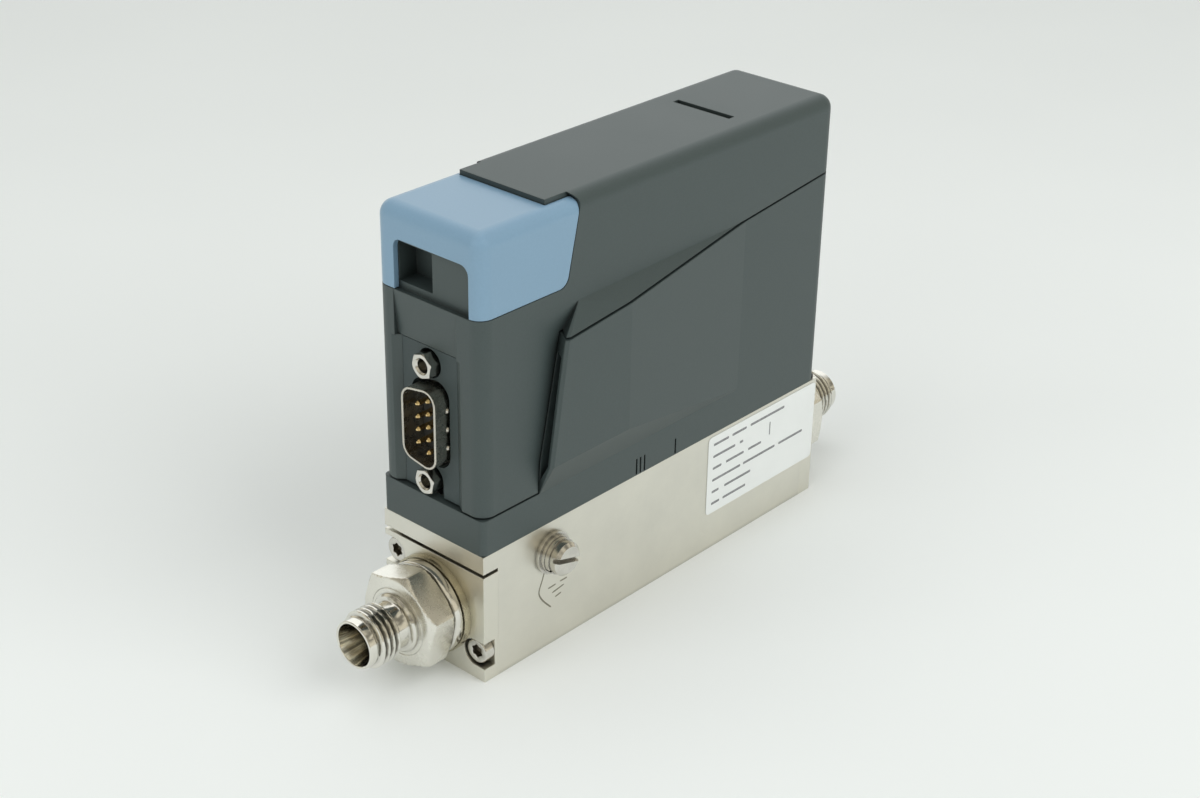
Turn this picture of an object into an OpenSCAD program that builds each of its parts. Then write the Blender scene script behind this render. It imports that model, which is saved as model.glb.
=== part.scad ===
// Mass flow controller for gas: steel block, thermal bypass sensor,
// proportional solenoid valve and electronics in a two-part moulded housing.
// +X runs from inlet to outlet, +Z is up, the origin is the middle of the bottom face.

/* [Block] */
// Length of the block over its two lips
block_length = 107; // [104:0.5:114]
// Width of the block, which the housing follows
block_width = 28; // [27.5:0.5:34]
// Height of the block
block_height = 29; // [28:0.5:33]
// Thickness of each end flange plate
flange_thickness = 4; // [3.6:0.1:5]
// Height of the lip that reaches over each end flange
lip_height = 3.9; // [3:0.1:4.5]
// Open slot between a lip and its flange
lip_gap = 0.8; // [0.4:0.1:1.2]
// Height of the flow axis above the bottom face
port_height = 13; // [12.5:0.25:13.5]
// Radius of the bore that holds the flow element
chamber_radius = 7; // [6.5:0.1:7.4]
// Radius of the tapped holes in the bottom face
mount_hole_radius = 1.65; // [1.25:0.05:2]
// Depth of the tapped holes in the bottom face
mount_hole_depth = 6; // [3:0.5:8]
// Distance between the tapped holes along the block
mount_spacing = 74; // [60:1:76]
// Distance between the tapped holes across the block
mount_side_spacing = 19; // [18:0.5:20]

/* [Flange screws] */
// Sideways distance of a flange screw from the flow axis
flange_screw_side = 11.3; // [11:0.1:11.4]
// Vertical distance of a flange screw from the flow axis
flange_screw_rise = 7; // [6.5:0.1:7.5]
// Radius of a flange screw head
flange_head_radius = 2.65; // [2.4:0.05:2.7]
// Depth of the counterbore that a head sits in
counterbore_depth = 2.9; // [2.4:0.1:3.2]
// Space between a head and its counterbore
counterbore_clearance = 0.35; // [0.2:0.05:0.5]
// Radius of the shank of the small screws
screw_radius = 1.5; // [1.25:0.05:1.6]
// Length of the shank of a flange screw
flange_screw_length = 9; // [7:0.5:11]

/* [Fittings] */
// Hexagon width across its flats
hex_width = 19; // [17:0.5:20]
// Turn of the hexagon about the flow axis
hex_turn = 42.6; // [0:0.1:60]
// Length of the hexagon
hex_length = 6.4; // [5:0.1:8]
// Radius of the round collar behind the hexagon
collar_radius = 10; // [9.5:0.1:10.3]
// Length of the round collar
collar_length = 2.2; // [1:0.1:3]
// Thickness of the sealing ring under a fitting
ring_thickness = 1.6; // [1:0.1:2]
// Outer radius of the sealing ring under a fitting
ring_radius = 10.4; // [10.3:0.1:11]
// Radius of the stepped boss in front of the hexagon
boss_radius = 6.2; // [5.9:0.1:7]
// Length of the stepped boss
boss_length = 1; // [0.6:0.1:2]
// Radius of the smooth neck behind the thread
neck_radius = 4.9; // [4.7:0.1:5.2]
// Length of the smooth neck
neck_length = 2.6; // [1:0.1:4]
// Crest radius of the outer thread
thread_radius = 6; // [5.7:0.1:6.2]
// Length of the threaded part, with its nose
thread_length = 7.8; // [6:0.1:10]
// Radius of the nose at its open end
nose_radius = 5.1; // [5:0.05:5.4]
// Length of the plain nose in front of the thread
nose_length = 1.9; // [1:0.1:3]
// Radius of the conical mouth at its open end
mouth_radius = 4.5; // [4.2:0.05:4.7]
// Length of the conical mouth
mouth_length = 7; // [4:0.1:9]
// Radius of the tube seat at the bottom of the mouth
tube_radius = 3; // [2.5:0.05:3.2]
// Radius of the gas bore
gas_bore_radius = 2.2; // [1.5:0.1:2.4]
// Radius of the shank that screws into the flange
shank_radius = 6; // [5.5:0.1:6.2]
// Reach of the shank past the flange plate
shank_reach = 1.5; // [0.5:0.1:2]

/* [Housing] */
// Height of the housing above the block
housing_height = 67.5; // [66:0.5:78]
// Wall of the housing
housing_wall = 2.4; // [2.2:0.1:2.6]
// Radius along the outer edges of the housing
edge_radius = 3; // [2:0.1:3.4]
// Height of the lower band under the front seam
band_height = 7.8; // [7.4:0.1:8]
// Gap at the seam between the lower housing and the cover
seam_gap = 0.45; // [0.3:0.05:0.6]
// Height of the slanted seam above the block at its front end
seam_front_rise = 40.8; // [39.5:0.1:42]
// Height of the slanted seam above the block at the rear face
seam_rear_rise = 50.3; // [48:0.1:53]
// Distance from the front face to the foot of the side panel
panel_foot = 15.6; // [15:0.1:17]
// Distance from the front face to the top front corner of the side panel
panel_shoulder = 21.4; // [20.5:0.1:22.5]
// Distance that the side panel stands proud of the housing's side
panel_depth = 3.5; // [2.8:0.1:3.8]
// Wall of the side panel over the air duct behind it
panel_wall = 1.2; // [1:0.1:1.4]
// Distance from the front face to the end of the panel's level part
panel_level_end = 38; // [34:0.5:42]
// Distance from the front face to the place where the panel has faded out
panel_end = 77.5; // [72:0.5:82]
// Height of the panel's upper crease above the block at its front end
panel_top_rise = 46; // [45:0.1:47]
// Height of the slope along the panel's lower edge
panel_slope_height = 7; // [5:0.1:8]
// Length of the raised notch across the top
top_notch_length = 15; // [10:0.5:18]
// Distance from the rear face to the notch across the top
top_notch_inset = 26.8; // [20:0.5:32]

/* [Front cap] */
// Thickness of the front cap
cap_wall = 1.2; // [1:0.05:1.5]
// Space between the cap and the cover
cap_clearance = 0.15; // [0.1:0.05:0.25]
// Height of the cap from its lower edge to the housing's top
cap_height = 17.7; // [17:0.1:18.4]
// Length of the cap along the top
cap_top_length = 19.6; // [18:0.2:21]
// Length of the cap's side wing at its foot
wing_foot_length = 23; // [22:0.25:23.5]
// Length of the cap's side wing at its top
wing_top_length = 26.6; // [25.5:0.2:28]
// Drop of the cap's top below the cover's top
cap_drop = 1; // [0.4:0.1:1.4]
// Side of the window nearest the -Y face, from the middle
window_near = 11; // [10:0.1:11.2]
// Side of the window nearest the +Y face, from the middle
window_far = 8.8; // [8:0.1:10]
// Distance from the housing's top to the top of the window
window_head = 7.4; // [6.9:0.1:8]
// Depth of the pocket behind the window
pocket_depth = 4.5; // [4.2:0.1:5]
// Width of the pocket behind the window
pocket_width = 9; // [8:0.1:9.5]

/* [Connector] */
// Sideways place of the connector's middle
connector_side = 0.85; // [0:0.05:1]
// Height of the connector's middle above the block
connector_rise = 24; // [23.7:0.1:24.2]
// Distance between the two jackscrews
jack_spacing = 24.99; // [24.8:0.01:25.2]
// Hexagon width of a jackscrew across its flats
jack_width = 4.75; // [4.5:0.05:5]
// Length of a jackscrew in front of the connector flange
jack_length = 4.76; // [4.5:0.01:5]
// Length inside the connector shell on its wide side
shell_length = 16.92; // [16.7:0.02:17.1]
// Width inside the connector shell
shell_width = 8.36; // [8.2:0.02:8.5]
// Height of the shell in front of its flange
shell_height = 5.84; // [5.6:0.02:6]
// Wall of the shell
shell_wall = 0.5; // [0.3:0.05:0.6]
// Distance from the shell's rim to the front face of the housing
shell_proud = 2.2; // [1.8:0.1:2.4]
// Distance between neighbouring pins in a row
pin_pitch = 2.77; // [2.7:0.01:2.8]
// Distance between the two rows of pins
row_pitch = 2.84; // [2.8:0.01:2.9]
// Radius of a contact pin
pin_radius = 0.5; // [0.4:0.05:0.55]
// Depth of the channel that the connector plate lies in
channel_depth = 1.1; // [0.8:0.1:1.3]
// Width of the channel at its floor
channel_width = 15; // [14.4:0.1:15.4]
// Height of the connector plate above the block
plate_top_rise = 40; // [39.6:0.1:41]

/* [Sensor] */
// Place of the sensor's middle along the block
sensor_x = -18; // [-19:0.5:-17]
// Distance between the two sensor ports
sensor_span = 24; // [22:0.5:25]
// Radius of the sensor's capillary tube
capillary_radius = 0.4; // [0.3:0.05:0.5]
// Height of the capillary's bridge above the sensor base
capillary_rise = 15; // [12:0.5:17]
// Height of the sensor base
sensor_base_height = 6; // [5:0.5:7]

/* [Valve] */
// Place of the valve's axis along the block
valve_x = 22; // [21:0.5:24]
// Radius of the plunger
plunger_radius = 4.5; // [4.2:0.05:4.6]
// Running clearance between the plunger and its tube
plunger_clearance = 0.05; // [0.03:0.01:0.08]
// Length of the plunger
plunger_length = 23.5; // [20:0.5:25]
// Travel of the plunger from shut to open
plunger_travel = 0.3; // [0.2:0.05:0.4]
// Wall of the guide tube
guide_wall = 0.45; // [0.4:0.05:0.5]
// Radius of the orifice in the valve seat
orifice_radius = 0.6; // [0.3:0.05:0.9]
// Outer radius of the coil winding
coil_radius = 10.4; // [9.5:0.1:10.6]
// Height of the coil bobbin
bobbin_height = 22; // [20:0.5:23]
// Turns of the plunger spring
spring_turns = 6; // [4:1:8]
// Radius of the spring wire
spring_wire = 0.3; // [0.2:0.05:0.35]

/* [Earth screw] */
// Distance from the front face to the earth screw
earth_inset = 19.1; // [18:0.1:21]
// Height of the earth screw above the bottom face
earth_height = 22.1; // [21:0.1:23]
// Radius of the earth screw's head
earth_head_radius = 3.6; // [3.2:0.1:3.8]
// Height of the earth screw's head
earth_head_height = 2.2; // [2:0.1:3]
// Radius of the largest washer under the earth screw
washer_radius = 4.6; // [4.4:0.1:4.8]

/* [Label] */
// Length of the side label
label_length = 38.2; // [34:0.2:38.4]
// Height of the side label
label_height = 19.2; // [17:0.2:20]
// Thickness of the side label
label_thickness = 0.15; // [0.1:0.05:0.2]
// Distance from the rear face to the side label
label_inset = 0.4; // [0.3:0.1:1]
// Distance from the top of the block to the side label
label_drop = 0.8; // [0.6:0.1:1.4]

/* [Hidden] */
$fn = 64;

// Small clearances and overshoots shared by many pieces
fit = 0.05;
over = 1;

// Block
half_length = block_length / 2;
half_width = block_width / 2;
body_half = half_length - flange_thickness;
flange_height = block_height - lip_height - lip_gap;
thread_clearance = 0.05;
screw_hole = screw_radius + thread_clearance;

// Flow path
filter_inset = 2.6;
filter_thickness = 1.5;
retainer_thickness = 1;
inlet_port_x = sensor_x - sensor_span / 2;
outlet_port_x = sensor_x + sensor_span / 2;
chamber_end = outlet_port_x + 3;
element_length = sensor_span - 6;
port_radius = 0.6;
outlet_chamber_depth = 8;
outlet_chamber_radius = 6.6;
passage_radius = 1.5;
inlet_passage_z = port_height + 5.2;
outlet_passage_z = port_height - 2;
seal_groove_radius = 9.1;
seal_wire = 0.75;
flange_head_height = 2.4;
flange_hole_depth = flange_screw_length - (flange_thickness - counterbore_depth) + 1;

// Fitting, measured outwards from the flange face
ring_end = ring_thickness;
collar_end = ring_end + collar_length;
hex_end = collar_end + hex_length;
boss_end = hex_end + boss_length;
neck_end = boss_end + neck_length;
fitting_end = neck_end + thread_length;
outlet_hex_turn = 28.4;

// Housing
housing_top = block_height + housing_height;
band_top = block_height + band_height;
front_x = -half_length;
rear_x = half_length;
panel_foot_x = front_x + panel_foot;
panel_shoulder_x = front_x + panel_shoulder;
panel_level_x = front_x + panel_level_end;
panel_end_x = front_x + panel_end;
panel_face_y = -half_width - panel_depth;
panel_lean = 1.8;
panel_foot_lean = 0.3;
panel_top_lean = 4.9;
panel_bevel = 0.6;
seam_front_z = block_height + seam_front_rise;
seam_rear_z = block_height + seam_rear_rise;
seam_slope = (seam_rear_z - seam_front_z) / (rear_x - panel_shoulder_x);
panel_face_low_z = band_top + panel_slope_height;
panel_top_z = block_height + panel_top_rise;
duct_height_gap = 3.6;
duct_foot_gap = 3;
inner_half_width = half_width - housing_wall;
ledge_height = 2;
base_front_radius = 1.2;
housing_screw_depth = 5;
housing_screw_side = inner_half_width - flange_head_radius - 0.2;
housing_screw_places = [for (x = [front_x + 9.5, rear_x - 8.5], side = [-1, 1])
  [x, side * housing_screw_side]];
// Thin slits along the lower edge: distance from the front face, and height
slit_places = [[44.5, 3.9], [45.7, 3.9], [47, 3.9], [56.9, 3.8]];
slit_width = 0.45;
slit_depth = 0.9;
gasket_inset = 0.6;
gasket_width = 1.1;
gasket_height = 0.95;
notch_depth = 0.8;
notch_width = 1.8;

// Cap
cap_base_z = housing_top - cap_height;
window_top_z = housing_top - window_head;
cap_top_z = housing_top - cap_drop;
cap_inset = cap_wall + cap_clearance;
cap_back_wall = 1.5;
cap_cavity_inset = cap_inset + cap_back_wall;
cap_back_x = front_x + cap_top_length;
wing_depth = 2.7;
cap_face_x = front_x + cap_inset;
cap_inner_x = cap_face_x + cap_back_wall;
pocket_wall = 1;
pocket_low_z = cap_base_z + 1.3;
pocket_high_z = window_top_z - 1;
cover_screw_side = 7;
cover_screw_drop = 6;
cover_screw_z = housing_top - cover_screw_drop;
cover_screw_radius = 1;
cover_head_radius = 1.7;
cover_head_height = 1.2;
cover_boss_radius = 2.3;

// Connector
connector_z = block_height + connector_rise;
shell_face_x = front_x - shell_proud;
connector_flange_x = shell_face_x + shell_height;
connector_flange_thickness = 0.8;
connector_flange_width = 12.5;
bump_x = shell_face_x + 3.4;
bump_pitch = 4;
bump_radius = 0.7;
bump_rise = 0.35;
jack_edge = 2.9;
connector_flange_length = jack_spacing + 2 * jack_edge;
bracket_x = connector_flange_x + connector_flange_thickness;
bracket_thickness = 1.2;
bracket_side_gap = 0.5;
plate_x = front_x + channel_depth;
plate_overlap = 1.2;
plate_side_gap = 0.5;
plate_end_gap = 1;
plate_top_z = block_height + plate_top_rise;
jack_stud_radius = 1.4;
jack_bore_radius = 1.4;
jack_nut_height = 1.8;
jack_stud_length = connector_flange_thickness + bracket_thickness + jack_nut_height + 0.4;
insulator_end_x = bracket_x + 4.4;
connector_board_x = insulator_end_x;
board_thickness = 1.6;
connector_board_half_width = 9;
connector_board_low = 14;
connector_board_high = 18;
insulator_rise = 0.6;
insulator_half_width = 5.2;
insulator_half_height = 9.6;
bracket_foot_width = 10;
bracket_foot_length = 8.2;
bracket_screw_radius = 1.25;
bracket_head_radius = 2.2;
bracket_screw_depth = 4;
bracket_screw_places = [for (y = [-2.5, 2.5]) [front_x + 9.5, y]];
channel_slope = 1.7;

// Valve
seat_floor_z = port_height + 3.5;
seat_depth = 4;
seat_radius = 3.5;
seat_rise = 1.2;
seat_gap = 0.02;
pad_z = seat_floor_z + seat_rise + seat_gap;
pad_proud = 0.4;
pad_radius = 2.2;
plunger_z = pad_z + pad_proud;
plunger_top = plunger_z + plunger_length;
core_z = plunger_top + plunger_travel + 0.05;
guide_bore = plunger_radius + plunger_clearance;
guide_radius = guide_bore + guide_wall;
guide_shoulder_z = block_height - 6;
guide_flange_radius = 7.45;
guide_flange_height = 3.5;
yoke_wall = 1.5;
yoke_half_length = 13.5;
yoke_half_width = 9;
bobbin_z = block_height + yoke_wall;
yoke_top = bobbin_z + bobbin_height + yoke_wall;
bobbin_wall = 0.9;
bobbin_flange = 1.2;
bobbin_flange_radius = coil_radius + 0.3;
floor_gap = 0.4;
nut_height = 4;
stud_radius = 3;
spring_pocket_depth = 8;
spring_pocket_radius = 2.6;
spring_radius = 2;

// Sensor
sensor_base_z = block_height + sensor_base_height;
sensor_cover_wall = 1.5;
sensor_cover_length = sensor_span + 6;
sensor_cover_width = 14;
sensor_base_width = 16;
sensor_base_length = sensor_cover_length + 13;
capillary_z = sensor_base_z + capillary_rise;
bend_radius = 3;
sensor_seal_radius = 2.2;
sensor_seal_wire = 0.6;
winding_length = 5;
sensor_screw_depth = 5;
sensor_screw_places = [for (side = [-1, 1]) [sensor_x + side * (sensor_base_length / 2 - 3), 0]];

// Main board, carried on the inner face of the +Y panel
spacer_length = 3;
board_face_y = inner_half_width - spacer_length;
board_inner_y = board_face_y - board_thickness;
board_screw_radius = 1;
cable_rise = 5;
cable_width = 10;
cable_thickness = 0.4;
cable_lap = 3;
board_low_x = -24;
board_high_x = rear_x - housing_wall - 1.1;
board_low_z = yoke_top + nut_height + 3;
board_high_z = housing_top - housing_wall - 3;
spacer_places = [
  [board_low_x + 6, board_low_z + 4],
  [(board_low_x + board_high_x) / 2, board_low_z + 4],
  [board_high_x - 5, board_low_z + 4],
  [board_high_x - 5, board_low_z + 13]
];

// Earth screw, measured outwards from the long face
earth_x = front_x + earth_inset;
earth_washer_thickness = 0.9;
lock_washer_thickness = 1;
earth_shank_radius = 2;
upper_washer_step = 0.5;
earth_lock_y = -half_width - 2 * earth_washer_thickness;
earth_head_y = earth_lock_y - lock_washer_thickness;
earth_hole_depth = 3;
earth_shank_length = 2.6;
earth_slot_turn = -15.6;
earth_slot_width = 1.05;
earth_slot_depth = 1.3;

steel_color = [0.72, 0.71, 0.67];
screw_color = [0.6, 0.59, 0.56];
brass_color = [0.72, 0.64, 0.42];
dark_color = [0.25, 0.29, 0.31];
blue_color = [0.48, 0.62, 0.75];
board_color = [0.1, 0.35, 0.2];
rubber_color = [0.08, 0.08, 0.08];
copper_color = [0.72, 0.42, 0.25];

// Placing and shaping helpers

// Turns a solid built along +Z to run along +X
module along_x() {
  rotate([0, 90, 0]) children();
}

// Turns a solid built along +Z to run along -Y
module along_minus_y() {
  rotate([90, 0, 0]) children();
}

// A box given by its low and high corners
module box_between(low, high) {
  translate(low) cube(high - low);
}

// A tube or ring along +Z
module ring(outer, inner, height) {
  difference() {
    cylinder(r = outer, h = height);
    translate([0, 0, -over]) cylinder(r = inner, h = height + 2 * over);
  }
}

module hexagon(width, height) {
  cylinder(r = width / 2 / cos(30), h = height, $fn = 6);
}

// A screw whose head stands up from z = 0 and whose shank goes down
module cap_screw(head_radius, head_height, shank_radius, length, drive_depth) {
  difference() {
    union() {
      cylinder(r = head_radius, h = head_height);
      translate([0, 0, -length]) cylinder(r = shank_radius, h = length + head_height / 2);
    }
    translate([0, 0, head_height - drive_depth])
      hexagon(head_radius * 0.9, drive_depth + over);
  }
}

// Points of an arc from one tangent point to the other at a polygon's corner
function corner_arc(before, at, after, radius, steps = 6) =
  let (
    a = (before - at) / norm(before - at),
    b = (after - at) / norm(after - at),
    half = acos(a * b) / 2,
    middle = at + (a + b) / norm(a + b) * radius / sin(half),
    start = at + a * radius / tan(half),
    finish = at + b * radius / tan(half),
    first = atan2(start[1] - middle[1], start[0] - middle[0]),
    last = atan2(finish[1] - middle[1], finish[0] - middle[0]),
    turn = last - first > 180 ? last - first - 360 :
           last - first < -180 ? last - first + 360 : last - first
  )
  [for (i = [0:steps]) middle + radius * [cos(first + turn * i / steps), sin(first + turn * i / steps)]];

// A polygon's points with each corner rounded by its own radius, or left sharp at 0
function rounded(points, radii) =
  [for (i = [0:len(points) - 1])
    let (
      count = len(points),
      before = points[(i + count - 1) % count],
      after = points[(i + 1) % count]
    )
    each (radii[i] == 0 ? [points[i]] : corner_arc(before, points[i], after, radii[i]))];

// A rectangle whose four corners are true arcs
module rounded_rectangle(size, radius) {
  translate([radius, 0]) square([size[0] - 2 * radius, size[1]]);
  translate([0, radius]) square([size[0], size[1] - 2 * radius]);
  for (x = [radius, size[0] - radius], y = [radius, size[1] - radius])
    translate([x, y]) circle(r = radius);
}

// The side profile in X and Z, pulled through the whole width along Y
module side_prism(points, low_y, high_y) {
  translate([0, high_y, 0]) rotate([90, 0, 0])
    linear_extrude(high_y - low_y) polygon(points);
}

// Outer form of the housing with ball corners, pulled in by an inset and lowered at the top
module housing_form(inset, top_inset) {
  radius = max(edge_radius - inset, 0.4);
  side_x = half_length - inset;
  side_y = half_width - inset;
  top = housing_top - top_inset;
  low = block_height - over;
  translate([-side_x, -side_y, low])
    linear_extrude(top - radius - low) rounded_rectangle([2 * side_x, 2 * side_y], radius);
  box_between([radius - side_x, radius - side_y, low], [side_x - radius, side_y - radius, top]);
  for (side = [-1, 1]) {
    translate([radius - side_x, side * (side_y - radius), top - radius]) along_x()
      cylinder(r = radius, h = 2 * (side_x - radius));
    translate([side * (side_x - radius), side_y - radius, top - radius]) along_minus_y()
      cylinder(r = radius, h = 2 * (side_y - radius));
    for (end = [-1, 1])
      translate([side * (side_x - radius), end * (side_y - radius), top - radius]) sphere(r = radius);
  }
}

// Height of the slanted seam at a place along the housing
function seam_z(x) = seam_front_z + (x - panel_shoulder_x) * seam_slope;

// Height of the side panel's crease, in the middle of the seam's gap
function ridge_z(x) = seam_z(x) + seam_gap / 2;

// Outline of the lower housing seen from the side, grown by a gap at the seam
module lower_region(gap) {
  side_prism([
    [front_x - over, block_height - 2 * over],
    [rear_x + over, block_height - 2 * over],
    [rear_x + over, seam_z(rear_x + over) + gap],
    [panel_shoulder_x - gap, seam_front_z + gap],
    [panel_foot_x + panel_foot_lean - gap, panel_face_low_z],
    [panel_foot_x - gap, band_top + gap],
    [front_x - over, band_top + gap]
  ], -half_width - over, half_width + over);
}

// Everything under the slanted seam, as far out as the side panels reach
module under_seam(gap) {
  low_x = front_x - over;
  high_x = rear_x + over;
  side_prism([[low_x, block_height], [high_x, block_height],
              [high_x, seam_z(high_x) + gap], [low_x, seam_z(low_x) + gap]],
             panel_face_y - over, -panel_face_y + over);
}

// Panel that stands proud of the -Y side and fades out towards the rear
module side_panel() {
  outer_low_x = panel_foot_x - panel_foot_lean / 2;
  outer_high_x = panel_shoulder_x - panel_lean;
  foot = side_outline(panel_foot_x, panel_foot_x + panel_foot_lean, panel_shoulder_x, panel_end_x);
  hull() {
    side_prism(foot, -half_width, -half_width + fit);
    side_prism([
      [outer_low_x, panel_face_low_z], [outer_high_x, ridge_z(outer_high_x)],
      [panel_level_x, ridge_z(panel_level_x)], [panel_level_x, panel_face_low_z]
    ], panel_face_y + panel_bevel, panel_face_y + panel_bevel + fit);
    side_prism([
      [outer_low_x + panel_bevel, panel_face_low_z], [outer_high_x + panel_bevel, ridge_z(outer_high_x)],
      [panel_level_x, ridge_z(panel_level_x)], [panel_level_x, panel_face_low_z]
    ], panel_face_y, panel_face_y + fit);
  }
}

// Foot of the side panel on the housing's side, seen from the side
function side_outline(foot_x, knee_x, shoulder_x, end_x) = [
  [foot_x, band_top], [knee_x, panel_face_low_z], [shoulder_x, seam_front_z],
  [shoulder_x + panel_top_lean, panel_top_z], [end_x, ridge_z(end_x)], [end_x, band_top]
];

// Air duct behind the side panel, open towards the front
module side_duct() {
  mouth = 4;
  roof_x = panel_shoulder_x - mouth;
  low_z = band_top + duct_foot_gap;
  side_end_x = panel_level_x + (panel_end_x - panel_level_x) * (1 - panel_wall / panel_depth) - over;
  hull() {
    side_prism([
      [panel_foot_x - mouth, low_z], [roof_x, seam_z(roof_x) - duct_height_gap],
      [side_end_x, seam_z(side_end_x) - duct_height_gap], [side_end_x, low_z]
    ], -half_width - fit, -half_width);
    side_prism([
      [panel_foot_x - mouth, panel_face_low_z], [roof_x, seam_z(roof_x) - duct_height_gap],
      [panel_level_x, seam_z(panel_level_x) - duct_height_gap], [panel_level_x, panel_face_low_z]
    ], panel_face_y + panel_wall, panel_face_y + panel_wall + fit);
  }
}

module both_sides() {
  children();
  mirror([0, 1, 0]) children();
}

// Block and end flanges

// A round hole going down from a level
module hole_down(x, y, top, depth, radius) {
  translate([x, y, top - depth]) cylinder(r = radius, h = depth + over);
}

module seal_groove() {
  along_x() ring(seal_groove_radius + seal_wire + fit, seal_groove_radius - seal_wire - fit, 2 * seal_wire);
}

// Tapped holes for one flange's screws, as seen from the inlet end
module flange_screw_holes() {
  for (side = [-1, 1])
    translate([-body_half - over, side * flange_screw_side, port_height + side * flange_screw_rise])
      along_x() cylinder(r = screw_hole, h = flange_hole_depth + over);
}

module base_block() {
  color(steel_color) difference() {
    union() {
      box_between([-body_half, -half_width, 0], [body_half, half_width, block_height]);
      box_between([-half_length, -half_width, block_height - lip_height],
                  [half_length, half_width, block_height]);
    }
    // Gas path
    translate([-body_half - over, 0, port_height]) along_x()
      cylinder(r = chamber_radius, h = chamber_end + body_half + over);
    translate([body_half - outlet_chamber_depth, 0, port_height]) along_x()
      cylinder(r = outlet_chamber_radius, h = outlet_chamber_depth + over);
    for (x = [inlet_port_x, outlet_port_x])
      hole_down(x, 0, block_height, block_height - port_height, port_radius);
    translate([chamber_end - over, 0, inlet_passage_z]) along_x()
      cylinder(r = passage_radius, h = valve_x - chamber_end);
    translate([valve_x, 0, outlet_passage_z]) along_x()
      cylinder(r = passage_radius, h = body_half - outlet_chamber_depth - valve_x + over);
    // Valve chamber, seat pocket and outlet drop
    hole_down(valve_x, 0, block_height, block_height - guide_shoulder_z, guide_flange_radius + fit);
    hole_down(valve_x, 0, guide_shoulder_z, guide_shoulder_z - seat_floor_z, guide_radius + 1);
    hole_down(valve_x, 0, seat_floor_z, seat_depth, seat_radius + fit);
    hole_down(valve_x, 0, seat_floor_z - seat_depth, seat_floor_z - seat_depth - outlet_passage_z, port_radius * 2);
    // Seal grooves and screw holes in the end faces
    translate([-body_half, 0, port_height]) seal_groove();
    translate([body_half - 2 * seal_wire, 0, port_height]) seal_groove();
    flange_screw_holes();
    rotate([0, 0, 180]) flange_screw_holes();
    // Holes in the top face
    for (place = housing_screw_places)
      hole_down(place[0], place[1], block_height, housing_screw_depth + over, screw_hole);
    for (place = bracket_screw_places)
      hole_down(place[0], place[1], block_height, bracket_screw_depth + over, bracket_screw_radius + fit);
    for (place = sensor_screw_places)
      hole_down(place[0], place[1], block_height, sensor_screw_depth + over, screw_hole);
    // Tapped holes in the bottom face
    for (x = [-1, 1], y = [-1, 1])
      translate([x * mount_spacing / 2, y * mount_side_spacing / 2, -over])
        cylinder(r = mount_hole_radius, h = mount_hole_depth + over);
    // Tapped hole for the earth screw
    translate([earth_x, -half_width - over, earth_height]) rotate([-90, 0, 0])
      cylinder(r = earth_shank_radius + fit, h = over + earth_hole_depth);
  }
}

// One end flange, standing at the inlet end
module end_flange() {
  head_room = flange_head_radius + counterbore_clearance;
  difference() {
    box_between([-half_length, -half_width, 0], [-body_half, half_width, flange_height]);
    translate([-half_length - over, 0, port_height]) along_x()
      cylinder(r = shank_radius + fit, h = flange_thickness + 2 * over);
    for (side = [-1, 1]) {
      z = port_height + side * flange_screw_rise;
      translate([-half_length - over, side * flange_screw_side, z]) along_x() {
        cylinder(r = screw_hole, h = flange_thickness + 2 * over);
        cylinder(r = head_room, h = counterbore_depth + over);
      }
      // The counterbore runs out through the side of the plate
      mirror([0, side < 0 ? 1 : 0, 0])
        box_between([-half_length - over, flange_screw_side, z - head_room],
                    [-half_length + counterbore_depth, half_width + over, z + head_room]);
    }
  }
}

module inlet_flange() {
  color(steel_color) end_flange();
}

module outlet_flange() {
  color(steel_color) rotate([0, 0, 180]) end_flange();
}

module flange_screws() {
  color(screw_color) for (turn = [0, 180]) rotate([0, 0, turn]) for (side = [-1, 1])
    translate([-half_length + counterbore_depth, side * flange_screw_side, port_height + side * flange_screw_rise])
      rotate([0, -90, 0]) cap_screw(flange_head_radius, flange_head_height, screw_radius, flange_screw_length, 1.3);
}

module flange_seals() {
  color(rubber_color) for (x = [-body_half + seal_wire, body_half - seal_wire])
    translate([x, 0, port_height]) along_x()
      rotate_extrude() translate([seal_groove_radius, 0]) circle(r = seal_wire - fit);
}

// Fittings

// A fitting standing on z = 0, with its shank below and its mouth above
module tube_fitting(turn) {
  shank_end = -flange_thickness - shank_reach;
  chamfer = 0.5;
  seat_z = fitting_end - mouth_length;
  difference() {
    union() {
      rotate_extrude() polygon([
        [0, shank_end], [shank_radius - chamfer, shank_end], [shank_radius, shank_end + chamfer],
        [shank_radius, ring_end], [collar_radius, ring_end], [collar_radius, collar_end],
        [boss_radius, collar_end], [boss_radius, boss_end - 0.4], [boss_radius - 0.4, boss_end],
        [neck_radius, boss_end], [neck_radius, neck_end], [thread_radius - chamfer, neck_end],
        [thread_radius, neck_end + chamfer], [thread_radius, fitting_end - nose_length],
        [nose_radius, fitting_end - nose_length + chamfer], [nose_radius, fitting_end],
        [0, fitting_end]
      ]);
      intersection() {
        translate([0, 0, collar_end]) rotate([0, 0, 90 - turn]) hexagon(hex_width, hex_length);
        rotate_extrude() polygon([
          [0, collar_end], [hex_width / 2 - 0.2, collar_end], [hex_width / 2 + 1.8, collar_end + 1.1],
          [hex_width / 2 + 1.8, hex_end - 0.9], [hex_width / 2 + 0.2, hex_end], [0, hex_end]
        ]);
      }
    }
    translate([0, 0, shank_end - over]) cylinder(r = gas_bore_radius, h = fitting_end - shank_end);
    translate([0, 0, seat_z - 2.5]) cylinder(r = tube_radius, h = 2.5 + fit);
    translate([0, 0, seat_z]) cylinder(r1 = tube_radius, r2 = mouth_radius, h = mouth_length);
    // Thin line turned into the hexagon's face
    translate([0, 0, hex_end - 0.2]) ring(boss_radius + 1.2, boss_radius + 1, over);
  }
}

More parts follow.
